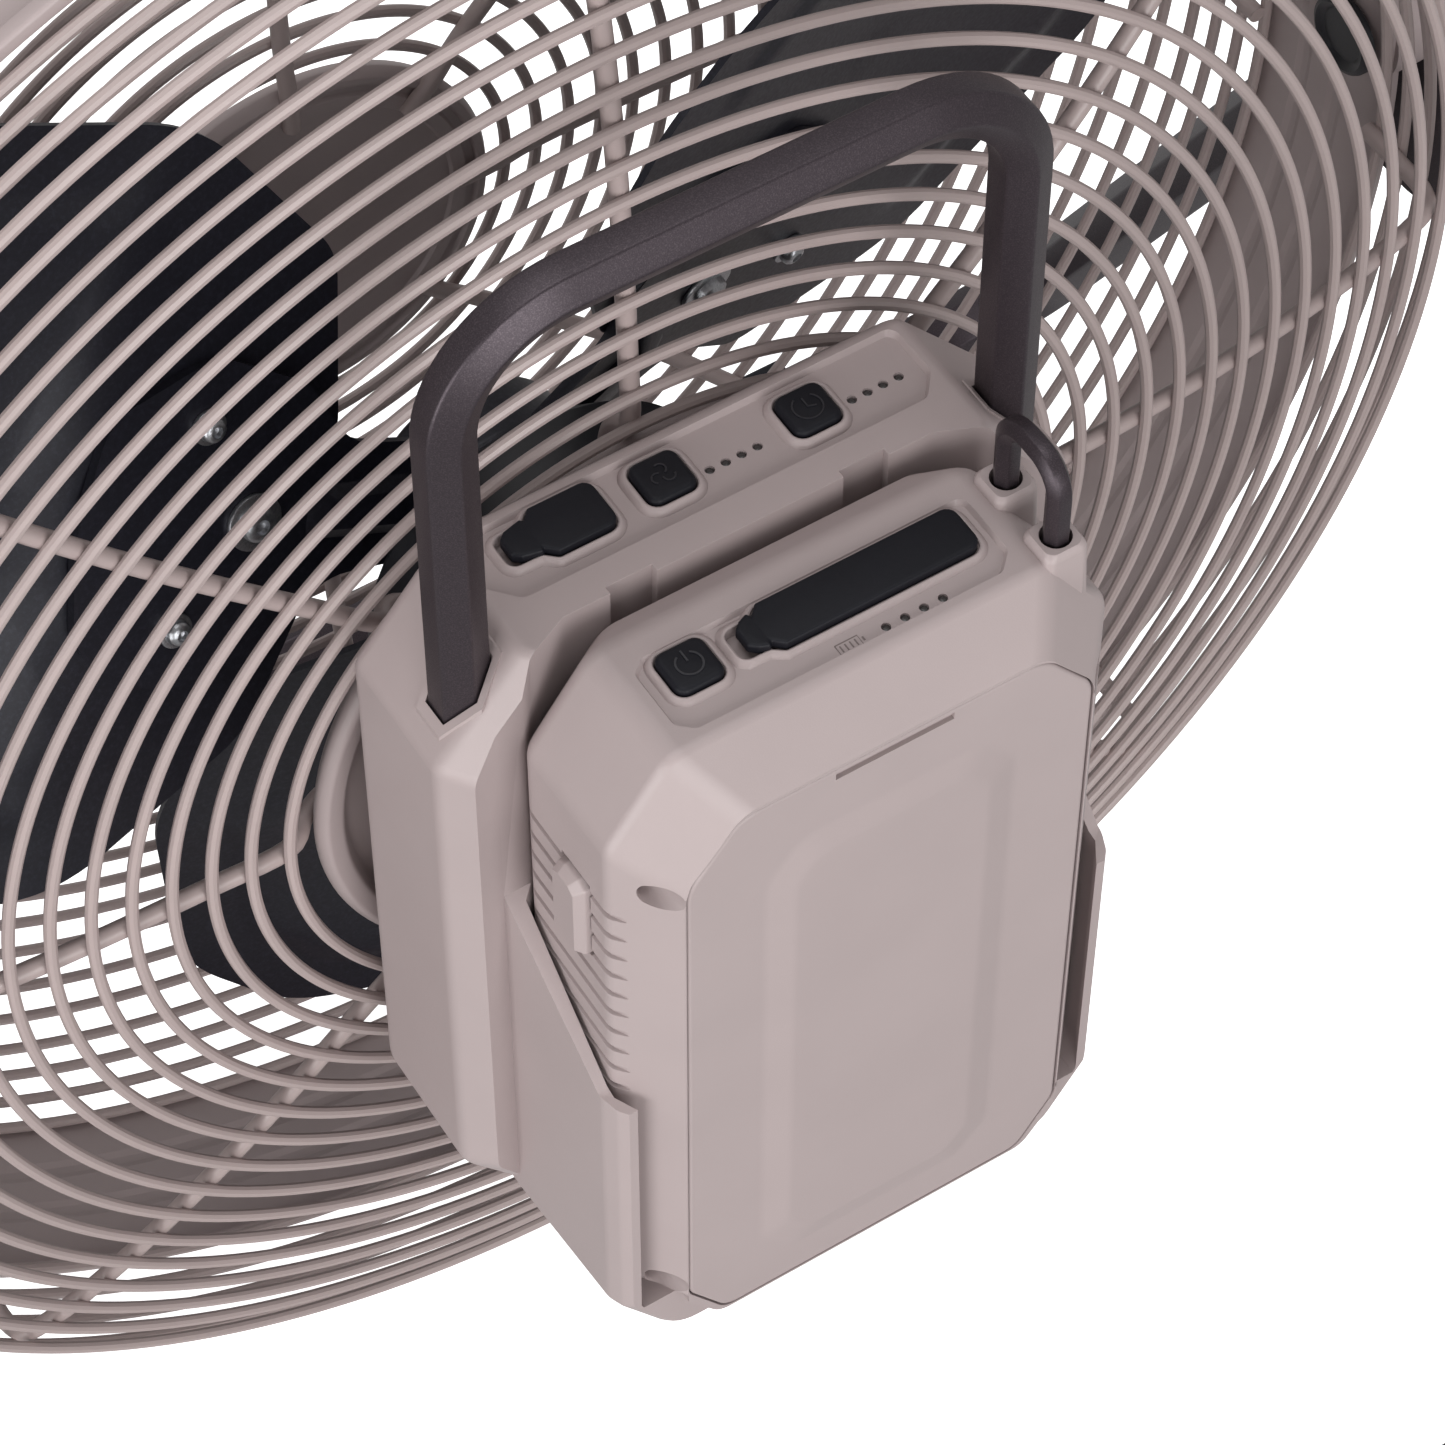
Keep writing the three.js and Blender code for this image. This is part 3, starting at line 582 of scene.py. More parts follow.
def radial_wire(path, wire, angle, sides=12, steps=5):
    pts = [Vector((0.0, y, AXIS_Z + r)) for r, y in path]
    pts = smooth_path(pts, steps)
    centred = Matrix.Translation((0, 0, -AXIS_Z))
    turn = Matrix.Translation((0, 0, AXIS_Z)) @ Matrix.Rotation(angle, 4, "Y") @ centred
    return sweep(pts, circle(wire, sides), (1, 0, 0)).moved(turn)


rear = Solid()
rear_rings = [(FIRST_RING + RING_PITCH * k) for k in range(REAR_RINGS)]
for r in rear_rings:
    rear.add(wire_ring(r, rear_dome(r)))
for r, y in ((224.6, 10.4), (225.3, 2.4), (225.3, -5.6), (225.3, -13.6)):
    rear.add(wire_ring(r, y))
rear.add(wire_ring(60.0, 20.4))
for i in range(8):
    rear.add(
        radial_wire(
            [(58.6, 18.2), (70.0, 18.8), (77.0, 22.0), (84.0, rear_dome(84.9) - WELD)]
            + [(r, rear_dome(r) - WELD) for r in (102.9, 129.9, 156.9, 183.9, 201.9)]
            + [(213.0, rear_dome(214) - WELD), (219.4, 11.6), (222.0, 6.4)]
            + [(222.3, -2.0), (222.3, -14.8)],
            SPOKE_R,
            math.pi * i / 4,
        )
    )
place(rear.make("rear_guard_wire", WIRE), "head", "rear_guard", slot="guard_wire")

front = Solid()
for k in range(FRONT_RINGS):
    r = FRONT_FIRST_RING + FRONT_PITCH * k
    front.add(wire_ring(r, front_dome(r)))
for r, y in ((219.4, -96.6), (223.6, -90.6), (225.3, -82.4), (225.3, -74.2), (225.3, -66.0), (225.3, -57.8)):
    front.add(wire_ring(r, y))
for i in range(8):
    front.add(
        radial_wire(
            [(40.0, -112.4), (50.0, -112.6), (66.0, -114.0), (116.0, -114.0), (135.0, -111.6)]
            + [(152.0, -107.8), (168.0, -104.0), (184.0, -101.4), (200.0, -100.2), (209.6, -98.6)]
            + [(216.6, -94.4), (220.8, -89.0), (222.3, -82.0), (222.3, -70.0), (222.3, -57.0)],
            SPOKE_R,
            math.pi * i / 4,
        )
    )
place(front.make("front_guard_wire", WIRE), "head", "front_guard", slot="guard_wire")

badge = lathe(
    rounded(
        [
            (0.0, -117.6), (41.0, -117.6), (42.0, -116.8), (43.4, -116.8), (44.6, -119.0),
            (48.8, -119.0), (49.4, -116.0), (48.0, -113.2), (46.2, -113.2), (45.6, -114.6),
            (43.6, -114.6), (43.0, -113.6), (39.8, -113.6), (39.2, -114.6), (0.0, -114.6),
        ],
        [0, 0.5, 0.4, 0.4, 0.9, 0.9, 0.8, 0.5, 0.4, 0.4, 0.4, 0.4, 0.4, 0.4, 0],
        3,
    ),
    128,
)
place(weld(badge.make("front_badge_disc", TAUPE)), "head", "front_badge", slot="taupe_plastic")

plate = lathe(
    rounded(
        [
            (11.4, 22.0), (70.0, 22.0), (75.6, 24.0), (78.0, 27.4), (75.8, 30.0), (71.6, 29.4),
            (69.0, 25.6), (17.0, 25.0), (17.0, 30.0), (11.4, 30.0),
        ],
        [0.3, 3.0, 3.0, 2.0, 1.6, 1.6, 2.4, 1.0, 0.6, 0.3],
        4,
    ),
    160,
)
place(plate.make("hub_plate_dished", TAUPE), "head", "hub_plate", slot="taupe_plastic")

# ------------------------------------------------------------------ motor
case = lathe(
    rounded(
        [
            (39.6, 21.6), (42.0, 21.6), (42.0, 12.0), (41.2, 11.2), (41.2, 9.6), (42.0, 8.8),
            (42.0, -12.0), (38.0, -16.0), (11.4, -16.0), (11.4, -9.2), (14.0, -9.2), (14.0, -13.4),
            (39.6, -13.4),
        ],
        0.8,
        3,
    ),
    128,
)
place(case.make("motor_case_turned", BLACK), "head", "motor_case", slot="dark_metal")
recolour(COPPER, "motor_stator")
recolour(STEEL, "bearing_rear", "bearing_front", "rotor_shaft", "magnet_ring")
recolour(BOARD, "control_board")
recolour(BLACK, "dock_terminal", "battery_cells")


# ------------------------------------------------------------------ rotor
def rotor_place(index):
    a = math.radians(BLADE_FIRST + 120.0 * index)
    pitch = Matrix.Rotation(math.radians(BLADE_PITCH), 4, "Z")
    return Matrix.Translation((0, ROTOR_Y, AXIS_Z)) @ Matrix.Rotation(a, 4, "Y") @ pitch


def blend_step(x, a, b):
    t = max(0.0, min(1.0, (x - a) / (b - a)))
    return t * t * (3 - 2 * t)


BLADE_OUTLINE = rounded(
    [
        (-20, 44), (-58, 52), (-88, 92), (-90, 158), (-66, 192), (0, 202), (66, 194), (88, 160),
        (84, 96), (52, 54), (20, 44),
    ],
    [8, 16, 40, 42, 30, 90, 30, 36, 44, 24, 8],
    7,
)
BLADE_MIDDLE = (0.0, 126.0)


def blade_surface(front_side):
    loops = []
    levels = [1.0, 0.985, 0.96, 0.93, 0.9, 0.87, 0.84, 0.81, 0.78, 0.75, 0.72, 0.66, 0.55, 0.42, 0.28, 0.14]
    for s in levels:
        loop = []
        for x, z in BLADE_OUTLINE:
            px = BLADE_MIDDLE[0] + (x - BLADE_MIDDLE[0]) * s
            pz = BLADE_MIDDLE[1] + (z - BLADE_MIDDLE[1]) * s
            outer = blend_step(pz, 96.0, 132.0)
            rib = 1.5 * (1 - blend_step(s, 0.76, 0.83)) * blend_step(pz, 92.0, 112.0)
            camber = 5.0 * outer * (1.0 - (px / 88.0) ** 2)
            y = -0.9 - camber + rib - 2.5 * outer
            loop.append((px, y + (0.8 if front_side else -0.8), pz))
        loops.append(loop)
    return loops


def blade_solid():
    n = len(BLADE_OUTLINE)
    out = Solid()
    top = blade_surface(True)
    low = blade_surface(False)
    verts, faces = [], []
    for loop in top + low:
        verts.extend(loop)
    count = len(top)
    for j in range(count - 1):
        for i in range(n):
            k = (i + 1) % n
            faces.append([j * n + i, j * n + k, (j + 1) * n + k, (j + 1) * n + i])
            o = count * n
            faces.append([o + j * n + k, o + j * n + i, o + (j + 1) * n + i, o + (j + 1) * n + k])
    faces.append([(count - 1) * n + i for i in range(n)])
    faces.append([count * n + (count - 1) * n + i for i in range(n)][::-1])
    for i in range(n):
        k = (i + 1) % n
        faces.append([i, count * n + i, count * n + k, k])
    return out.put(verts, faces)


ARM_OUTLINE = rounded(
    [
        (-13, 12), (-15, 42), (-30, 56), (-38, 80), (-26, 104), (0, 108), (26, 104), (38, 80),
        (30, 56), (15, 42), (13, 12),
    ],
    [0, 14, 10, 16, 12, 30, 12, 16, 10, 14, 0],
    5,
)


def screw_head(across, out, radius, washer):
    """A washer and a domed head with a round recess, drawn facing +Y."""
    centre = (across, 0, out)
    disc = [(0.6, 2.9), (washer, 2.9), (washer, 4.1), (0.6, 4.1)]
    base = 4.1
    dome = [
        (0.0, base),
        (radius, base),
        (radius, base + 0.9),
        (radius * 0.93, base + 1.7),
        (radius * 0.72, base + 2.3),
        (radius * 0.45, base + 2.5),
        (radius * 0.40, base + 1.2),
        (0.0, base + 1.0),
    ]
    made = lathe(rounded(disc, 0.3, 2), 40, centre)
    made.add(lathe(dome, 32, centre))
    made.add(lathe([(0.0, -3.4), (1.9, -3.4), (1.9, 3.2), (0.0, 3.2)], 20, centre))
    return made


arms = lathe(
    rounded(
        [(4.4, -46.0), (19.0, -46.0), (23.0, -42.5), (24.0, -26.0), (20.0, -22.2), (4.4, -22.2)],
        [0.5, 3, 3, 3, 2, 0.5],
        4,
    ),
    96,
)
for index in range(3):
    at = rotor_place(index)
    level = [
        (-0.1, inset(ARM_OUTLINE, 0.0)),
        (0.4, ARM_OUTLINE),
        (2.5, ARM_OUTLINE),
        (2.9, inset(ARM_OUTLINE, 0.4)),
    ]
    arm = Solid()
    arm.add(loft([(p, o) for p, o in level], "y"))
    rib = loft(
        [
            (2.9, rounded([(-7, 20), (7, 20), (6, 50), (-6, 50)], 3, 4)),
            (5.0, rounded([(-4, 23), (4, 23), (3.4, 46), (-3.4, 46)], 2, 4)),
        ],
        "y",
    )
    arm.add(rib)
    arms.add(arm.moved(at))
    place(
        blade_solid().moved(at).make(f"blade_{index + 1}_pressed", BLADE, 40.0),
        "rotor",
        f"blade_{index + 1}",
        slot="dark_metal",
    )
    for kind, across, out, radius, washer in (
        ("bolt", 0.0, 64.2, 4.0, 6.6),
        ("screw_a", -23.0, 80.0, 2.9, 4.0),
        ("screw_b", 23.0, 80.0, 2.9, 4.0),
    ):
        head = screw_head(across, out, radius, washer).moved(at)
        place(
            weld(head.make(f"blade_{index + 1}_{kind}_head", STEEL)),
            "rotor",
            f"blade_{index + 1}_{kind}",
            slot="steel",
        )
place(arms.make("spider_arms", BLADE), "rotor", "spider_hub", slot="dark_metal")

# ------------------------------------------------------------------ stand
TUBE = hexagon(10.0, 6.0, 1.4, 4)


def stand_tube(bar_y):
    run, drop = bar_y - PIVOT_Y, PIVOT_Z - 10.0
    long = math.hypot(run, drop)
    flat = rounded([(247, -22), (247, -long), (-247, -long), (-247, -22)], [0, 48, 48, 0], 14)[15:-15]
    flat = [(247, -22)] + flat + [(-247, -22)]
    down = Vector((0, run / long, -drop / long))
    side = Vector((1, 0, 0)).cross(down)
    points = [Vector((x, PIVOT_Y, PIVOT_Z)) + down * (-y) for x, y in flat]
    return sweep(points, TUBE, side)


place(stand_tube(-182.0).make("stand_front_bent", PLUM), "stand", "stand_front_tube", slot="plum_metallic")
place(stand_tube(182.0).make("stand_rear_bent", PLUM), "stand", "stand_rear_tube", slot="plum_metallic")


def from_cad(node, name, look, body, slot, width=1.0, angle=30.0, segments=3):
    """A copy of a CAD node's mesh with its edges rounded."""
    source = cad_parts[node]
    obj = bpy.data.objects.new(name, source.data.copy())
    bpy.context.scene.collection.objects.link(obj)
    obj.data.materials.clear()
    obj.data.materials.append(look)
    bevel(obj, width, segments, angle)
    weighted(obj)
    return place(obj, body, node, slot=slot)


for side in ("left", "right"):
    from_cad(f"pivot_bracket_{side}", f"pivot_bracket_{side}_cast", PLUM, "stand", "plum_metallic", 1.2)
    from_cad(f"tilt_knob_{side}", f"tilt_knob_{side}_grip", BLACK, f"knob_{side}", "black_plastic", 1.0, 25.0)
    for end in ("front", "rear"):
        from_cad(f"foot_{end}_{side}", f"foot_{end}_{side}_pad", RUBBER, "stand", "black_rubber", 1.2)

# ------------------------------------------------------------------ handle
HANDLE_SECTION = hexagon(6.2, 5.4, 0.9, 3)
handle_flat = rounded(
    [(HANDLE_X, 302), (HANDLE_X, HANDLE_TOP), (-HANDLE_X, HANDLE_TOP), (-HANDLE_X, 302)],
    [0, 26, 26, 0],
    16,
    closed=False,
)
handle = sweep([(x, HANDLE_Y, z) for x, z in handle_flat], HANDLE_SECTION, (0, 1, 0))
place(handle.make("carry_handle_bar", PLUM, 40.0), "head", "carry_handle", slot="plum_metallic")

# ------------------------------------------------------------------ housing
SHOULDER = mirrored([(50, 154), (73, 185), (73, 326), (53, 350)])
FILLET = [8, 8, 8, 6, 4, 4, 6, 8]


def outline_of(corners, radii, d=0.0, pieces=5):
    return rounded(inset(corners, d) if d else corners, radii, pieces)


def offset_sides(corners, sides, low, top):
    """The octagon moved in by different amounts at its sides, bottom and top."""
    out = []
    for x, z in corners:
        sx = (abs(x) - sides) / abs(x)
        out.append((x * sx, z + low if z < 250 else z - top))
    return out


front_block = loft(
    [
        (34.0, outline_of(offset_sides(SHOULDER, 8, 6, 12), FILLET)),
        (42.5, outline_of(offset_sides(SHOULDER, 0.4, 0, 0.3), FILLET)),
        (74.0, outline_of(SHOULDER, FILLET)),
        (81.5, outline_of(offset_sides(SHOULDER, 5.4, 3.3, 0), FILLET)),
    ],
    "y",
    reach=[0, 2.2, 2.0, 0],
).make("housing_shell_moulded", TAUPE)

VALLEY = [(-75, 82.0), (-68.2, 80.8), (-62.1, 78.8), (62.1, 78.8), (68.2, 80.8), (75, 82.0)]
VALLEY += [(75, 95), (-75, 95)]
boolean(front_block, prism(VALLEY, 140, 360, "z").make("valley", TAUPE))

CRADLE = mirrored([(50, 154.2), (62.1, 172.0), (62.1, 300)])
CRADLE_FILLET = [9, 9, 2.5, 1, 1, 2.5]
CRADLE_HALF = 62.1


def cradle_at(sides, lift):
    """The cradle's outline narrowed to a half width, its bottom raised."""
    corners = [(x * sides / CRADLE_HALF, z + (lift if z < 200 else 0)) for x, z in CRADLE]
    return outline_of(corners, CRADLE_FILLET)


cradle = loft(
    [
        (60.0, cradle_at(CRADLE_HALF, 0.0)),
        (79.0, cradle_at(CRADLE_HALF, 0.0)),
        (112.0, cradle_at(60.6, 0.0)),
        (115.8, cradle_at(59.2, 0.3)),
        (117.5, cradle_at(57.6, 1.2)),
    ],
    "y",
    reach=[0, 0, 1.0, 0.8, 0],
).make("cradle", TAUPE)
RAIL_TOP = [(72.0, 400), (72.0, 288.4), (110.5, 250.6), (117.6, 249.0), (130, 249.0), (130, 400)]
boolean(cradle, prism(RAIL_TOP, -90, 90, "x").make("rail_cut", TAUPE))
boolean(front_block, cradle, "UNION")

BAY_HALF = [
    (55.6, 170), (55.6, 117.4), (58.3, 113), (58.3, 80.8), (55.9, 78.8), (52.4, 76.1), (42, 71.3),
    (31.6, 71.3), (31.6, 69.5), (21.2, 69.5), (21.2, 71.3),
]
BAY = BAY_HALF + [(-x, y) for x, y in BAY_HALF[::-1]]
BAY_FLOOR = [(58.4, 380), (58.4, 177.8), (55, 170.4), (47.3, 170.4), (39.5, 159.6)]
bay = prism(BAY[::-1], 150, 380, "z").make("bay", TAUPE)
bay_floor = prism([(-x, z) for x, z in BAY_FLOOR] + BAY_FLOOR[::-1], 60, 180, "y").make("bay_floor", TAUPE)
boolean(bay, bay_floor, "INTERSECT")
boolean(front_block, bay)
bevel(front_block, 0.8, 3, 38.0)


def cut(target, solid):
    return boolean(target, solid.make("cutter", TAUPE))


def pocket(outline, depth_at, top, slope):
    """A recess with sloping sides, open upwards."""
    return loft(
        [
            (depth_at, inset(outline, slope)),
            (top, outline),
            (top + 6, inset(outline, -slope)),
        ],
        "z",
        reach=0,
    )


DECK = 350.05
PANEL = [(-49, 44.2), (50, 44.2), (52.5, 46), (52.5, 56), (46, 63.6), (-46, 63.6), (-50.5, 58)]
PANEL += [(-50.5, 46)]
PANEL_FLOOR = 348.2
cut(front_block, pocket(rounded(PANEL, 3, 4), PANEL_FLOOR, DECK, 0.8))
SOCKET_R = 6.95
for side in (1, -1):
    x = side * HANDLE_X
    socket = rounded([(a + x, b + HANDLE_Y) for a, b in circle(SOCKET_R, 6, math.pi / 2)], 0.8, 3)
    cut(front_block, prism(socket, 301.5, 360, "z"))

SPEED = (8.2, 52.6)
TIMER = (-24.6, 53.4)
DC = (20.8, 36.8, 43.0, 45.8, 58.0)
DC_REACH = 0.8
HALF = 5.4


def square(x, y, half):
    return [(x - half, y - half), (x + half, y - half), (x + half, y + half), (x - half, y + half)]


def squircle(x, y, half, radius, pieces=6):
    return rounded(square(x, y, half), radius, pieces)


def grown(corners, radii, d):
    """An outline moved out by d, its outward corners rounder and its inward corners sharper."""
    n = len(corners)
    out = []
    for i in range(n):
        a, p, b = (Vector(corners[k % n]) for k in (i - 1, i, i + 1))
        outward = (p - a).x * (b - p).y - (p - a).y * (b - p).x > 0
        out.append(max(radii[i] + (d if outward else -d), 0.25))
    return rounded(inset(corners, -d), out, 5)


def collar(corners, radii, base, height, width, grow=0.35):
    """A raised rim with a sloping outer side round an outline."""
    levels = [
        (grow + width + 1.0, base - 0.4),
        (grow + width + 1.0, base),
        (grow + width + 0.2, base + height * 0.72),
        (grow + width * 0.75, base + height),
        (grow + 0.25, base + height),
        (grow, base + height * 0.8),
        (grow, base - 3.0),
        (grow + 0.8, base - 3.0),
    ]
    loops = [[(*p, z) for p in grown(corners, radii, d)] for d, z in levels]
    n = len(loops[0])
    verts = [p for loop in loops for p in loop]
    faces = []
    for j in range(len(loops)):
        k = (j + 1) % len(loops)
        for i in range(n):
            q = (i + 1) % n
            faces.append([j * n + i, j * n + q, k * n + q, k * n + i])
    return Solid().put(verts, faces)


def well(x0, x1, tab, y0, y1, reach):
    """A cover's outline with a wider end that leaves room for a fingertip."""
    m = (y0 + y1) / 2
    end = tab + reach
    corners = [
        (x0, y0), (x1 - 2.2, y0), (x1 + 0.4, m - 3.7), (end, m - 3.7), (end, m + 3.7),
        (x1 + 0.4, m + 3.7), (x1 - 2.2, y1), (x0, y1),
    ]
    return corners, [2.6, 0.9, 0.6, 1.8, 1.8, 0.6, 0.9, 2.6]


def drill(x, y, radius, low, high, sides=20):
    """An upright round hole's cutter."""
    return lathe([(0.0, low), (radius, low), (radius, high), (0.0, high)], sides, (x, y, 0.0), "z")


def hollow(x1, tab, y0, y1, reach, low):
    """The fingertip room beyond a cover's tab."""
    m = (y0 + y1) / 2
    end = tab + reach + 0.35
    corners = [(x1 - 3.0, m - 4.2), (end, m - 4.2), (end, m + 4.2), (x1 - 3.0, m + 4.2)]
    return prism(rounded(corners, [0.5, 2.0, 2.0, 0.5], 5), low, 356, "z")


def cover_outline(x0, x1, tab, y0, y1):
    """A rubber cover from x0 to x1 with a finger tab that reaches to tab."""
    m = (y0 + y1) / 2
    return [
        (x0, y0), (x1 - 2.2, y0), (x1, y0 + 2.2), (x1 + 0.4, m - 4.6), (tab - 1.6, m - 3.6),
        (tab, m - 2.2), (tab, m + 2.2), (tab - 1.6, m + 3.6), (x1 + 0.4, m + 4.6), (x1, y1 - 2.2),
        (x1 - 2.2, y1), (x0, y1),
    ]


for x, y in (SPEED, TIMER):
    cut(front_block, prism(squircle(x, y, HALF + 0.35, 2.5), 330, 356, "z"))
SPEED_LAMPS = [(-1.2 - 3.65 * i, 54.8) for i in range(4)]
TIMER_LAMPS = [(-34.0 - 3.65 * i, 54.8) for i in range(4)]
for x, y in SPEED_LAMPS + TIMER_LAMPS:
    cut(front_block, drill(x, y, 1.05, 336.0, 352.0))
cut(front_block, hollow(*DC[1:], DC_REACH, 346.4))
cut(front_block, block(-48, 48, 37, 62, 205, 340))
weighted(front_block, 38.0)
place(front_block, "head", "housing_shell", slot="taupe_plastic")

rims = Solid()
for x, y in (SPEED, TIMER):
    rims.add(collar(square(x, y, HALF), [2.3] * 4, PANEL_FLOOR, 1.45, 0.9))
rims.add(collar(*well(*DC, DC_REACH), PANEL_FLOOR, 1.35, 0.8))
place(rims.make("button_collars", TAUPE, 50.0), "head", slot="taupe_plastic")


# ------------------------------------------------------------------ rubber
def soft_pad(corners, radius, low, high, edge=1.1, pieces=6):
    radii = radius if isinstance(radius, (list, tuple)) else [radius] * len(corners)

    def level(d):
        return rounded(inset(corners, d) if d else corners, [max(r - d, 0.2) for r in radii], pieces)

    return loft(
        [
            (low, level(0.0)),
            (high - edge, level(0.0)),
            (high - edge * 0.62, level(edge * 0.08)),
            (high - edge * 0.29, level(edge * 0.29)),
            (high - edge * 0.08, level(edge * 0.62)),
            (high, level(edge * 1.0)),
        ],
        "z",
    )


def arc(centre, radius, start, stop, pieces=20):
    return [
        (
            centre[0] + radius * math.cos(math.radians(start + (stop - start) * k / pieces)),
            centre[1] + radius * math.sin(math.radians(start + (stop - start) * k / pieces)),
        )
        for k in range(pieces + 1)
    ]


def band(points, width, low, high):
    """A flat line of constant width along a smooth path."""
    pts = [Vector((p[0], p[1], 0)) for p in points]
    left, right = [], []
    for i, p in enumerate(pts):
        a, b = pts[max(i - 1, 0)], pts[min(i + 1, len(pts) - 1)]
        along = (b - a).normalized()
        side = Vector((-along.y, along.x, 0)) * (width / 2)
        left.append(p + side)
        right.append(p - side)
    n = len(pts)
    verts = [(v.x, v.y, low) for v in left] + [(v.x, v.y, low) for v in right]
    verts += [(v.x, v.y, high) for v in left] + [(v.x, v.y, high) for v in right]
    faces = []
    for i in range(n - 1):
        faces.append([2 * n + i, 2 * n + i + 1, 3 * n + i + 1, 3 * n + i])
        faces.append([i, i + 1, 2 * n + i + 1, 2 * n + i])
        faces.append([n + i, n + i + 1, 3 * n + i + 1, 3 * n + i])
        faces.append([i, i + 1, n + i + 1, n + i])
    faces.append([0, n, 3 * n, 2 * n])
    faces.append([n - 1, 2 * n - 1, 4 * n - 1, 3 * n - 1])
    return Solid().put(verts, faces)


def marked(pad, marks, node):
    """A button's rubber pad and the mark on it, both riding on the button."""
    place(pad.make(f"{node}_pad", RUBBER, 60.0), node, node, slot="black_rubber")
    place(marks.make(f"{node}_pad_mark", ENGRAVED, 60.0), node, slot="black_rubber")


top = 350.75
MARK = (0.34, top + 0.02, top + 0.2)
marks = Solid()
for k in range(3):
    a = 120 * k + 20
    c = (SPEED[0] + 1.35 * math.cos(math.radians(a)), SPEED[1] + 1.35 * math.sin(math.radians(a)))
    marks.add(band(arc(c, 1.25, a - 150, a + 40, 12), *MARK))
marked(soft_pad(square(*SPEED, HALF), 2.3, 342.6, top), marks, "speed_button")
marks = Solid()
marks.add(band(arc(TIMER, 3.1, -60, 230, 28), *MARK))
marks.add(band([TIMER, (TIMER[0], TIMER[1] - 2.3)], *MARK))
marks.add(band([TIMER, (TIMER[0] - 1.7, TIMER[1] + 0.6)], *MARK))
marked(soft_pad(square(*TIMER, HALF), 2.3, 342.6, top), marks, "timer_button")


def cover_pad(size, low, high, corner, node):
    """A tabbed rubber cover riding on its own body."""
    radii = [corner, 0.8, 0.8, 0.6, 1.0, 1.0, 1.0, 1.0, 0.6, 0.8, 0.8, corner]
    pad = soft_pad(cover_outline(*size), radii, low, high, 0.7, 4)
    place(pad.make(f"{node}_pad", RUBBER, 60.0), node, node, slot="black_rubber")


cover_pad(DC, 348.8, 351.1, 2.4, "dc_cover")


def lamps(points, low, high, name, body, node):
    """A row of small round lamps, the upper ends of one light pipe."""
    made = Solid()
    for x, y in points:
        profile = [(0.0, low), (0.85, low), (0.85, high - 0.15), (0.6, high), (0.0, high)]
        made.add(lathe(profile, 20, (x, y, 0.0), "z"))
    place(weld(made.make(name, LENS)), body, node, slot="lamp_plastic")


lamps(SPEED_LAMPS, 337, 347.7, "speed_lamps", "head", "speed_light_pipe")
lamps(TIMER_LAMPS, 337, 347.7, "timer_lamps", "head", "timer_light_pipe")
recolour(TAUPE, "handle_trim_left", "handle_trim_right")

# ------------------------------------------------------------------ battery
PACK = mirrored([(52, 171.2), (57.2, 178), (57.2, 330), (43, 350)])
PACK_REAR = mirrored([(42, 171.2), (47, 174), (47, 322), (34.5, 339.5)])
PACK_FILLET = [2.5, 2.5, 4, 8, 7, 7, 8, 4]
PACK_FOOT = mirrored([(38.8, 160.4), (46.6, 171.0), (46.6, 176)])
pack = loft(
    [
        (75.0, outline_of(offset_sides(PACK, 7, 3, 4), PACK_FILLET, 0, 7)),
        (81.0, outline_of(PACK, PACK_FILLET, 0, 7)),
        (110.0, outline_of(PACK, PACK_FILLET, 0, 7)),
        (122.0, outline_of(PACK_REAR, [1.5, 1.5, 2, 8, 7, 7, 8, 2], 0, 7)),
    ],
    "y",
    reach=[0, 2.5, 1.6, 0],
    pieces=6,
).make("battery_shell_moulded", TAUPE)
foot = prism(rounded(PACK_FOOT, [5, 5, 2, 0.5, 0.5, 2], 6), 78.0, 121.9, "y").make("battery_foot", TAUPE)
boolean(pack, foot, "UNION")
LOOP_X = -46.5
LOOP_Y = (89.4, 106.2)
for y in LOOP_Y:
    boss = loft(
        [
            (330.0, squircle(LOOP_X, y, 5.6, 2.0)),
            (350.9, squircle(LOOP_X, y, 4.9, 2.0)),
            (352.0, squircle(LOOP_X, y, 4.1, 2.0)),
        ],
        "z",
        reach=[0, 0.9, 0],
    ).make("boss", TAUPE)
    boolean(pack, boss, "UNION")
COVER = mirrored([(37.4, 161.2), (46.4, 175), (46.4, 323), (34.6, 338.4)])
COVER_FILLET = [5, 5, 6, 9, 8, 8, 9, 6]
RAISED_LOW = mirrored([(20.5, 172), (28.6, 181), (28.6, 313), (20.5, 322)])
RAISED_TOP = mirrored([(17, 178.5), (22.4, 184.5), (22.4, 309), (17, 315.5)])
RAISED_IN = [(x * 0.9, 247 + (z - 247) * 0.96) for x, z in RAISED_TOP]
cut(pack, prism(rounded(inset(COVER, -0.3), COVER_FILLET, 6), 119.4, 130, "y"))
TOP_PANEL = [(-38, 87.4), (34.6, 87.4), (38, 90), (38, 104), (34.6, 107.0), (-34, 107.0), (-38, 103)]
PACK_FLOOR = 348.8
cut(pack, pocket(rounded(TOP_PANEL, 2.4, 4), PACK_FLOOR, DECK, 0.7))
POWER = (28.2, 94.0)
PORT = (-34.2, 12.6, 16.9, 88.7, 100.0)
PORT_REACH = 1.8
cut(pack, prism(squircle(*POWER, HALF + 0.35, 2.5), 340, 356, "z"))
cut(pack, hollow(*PORT[1:], PORT_REACH, 346.8))
PACK_LAMPS = [(-8.6 - 4.3 * i, 105.2) for i in range(4)]
for x, y in PACK_LAMPS:
    cut(pack, drill(x, y, 1.0, 340.0, 352.0))
for y in LOOP_Y:
    cut(pack, drill(LOOP_X, y, 3.3, 343.6, 356.0, 24))
LATCH = (94.2, 103.8, 289.0, 312.0)
GROOVES = 11
GROOVE_TOP = 309.5
GROOVE_PITCH = 6.6


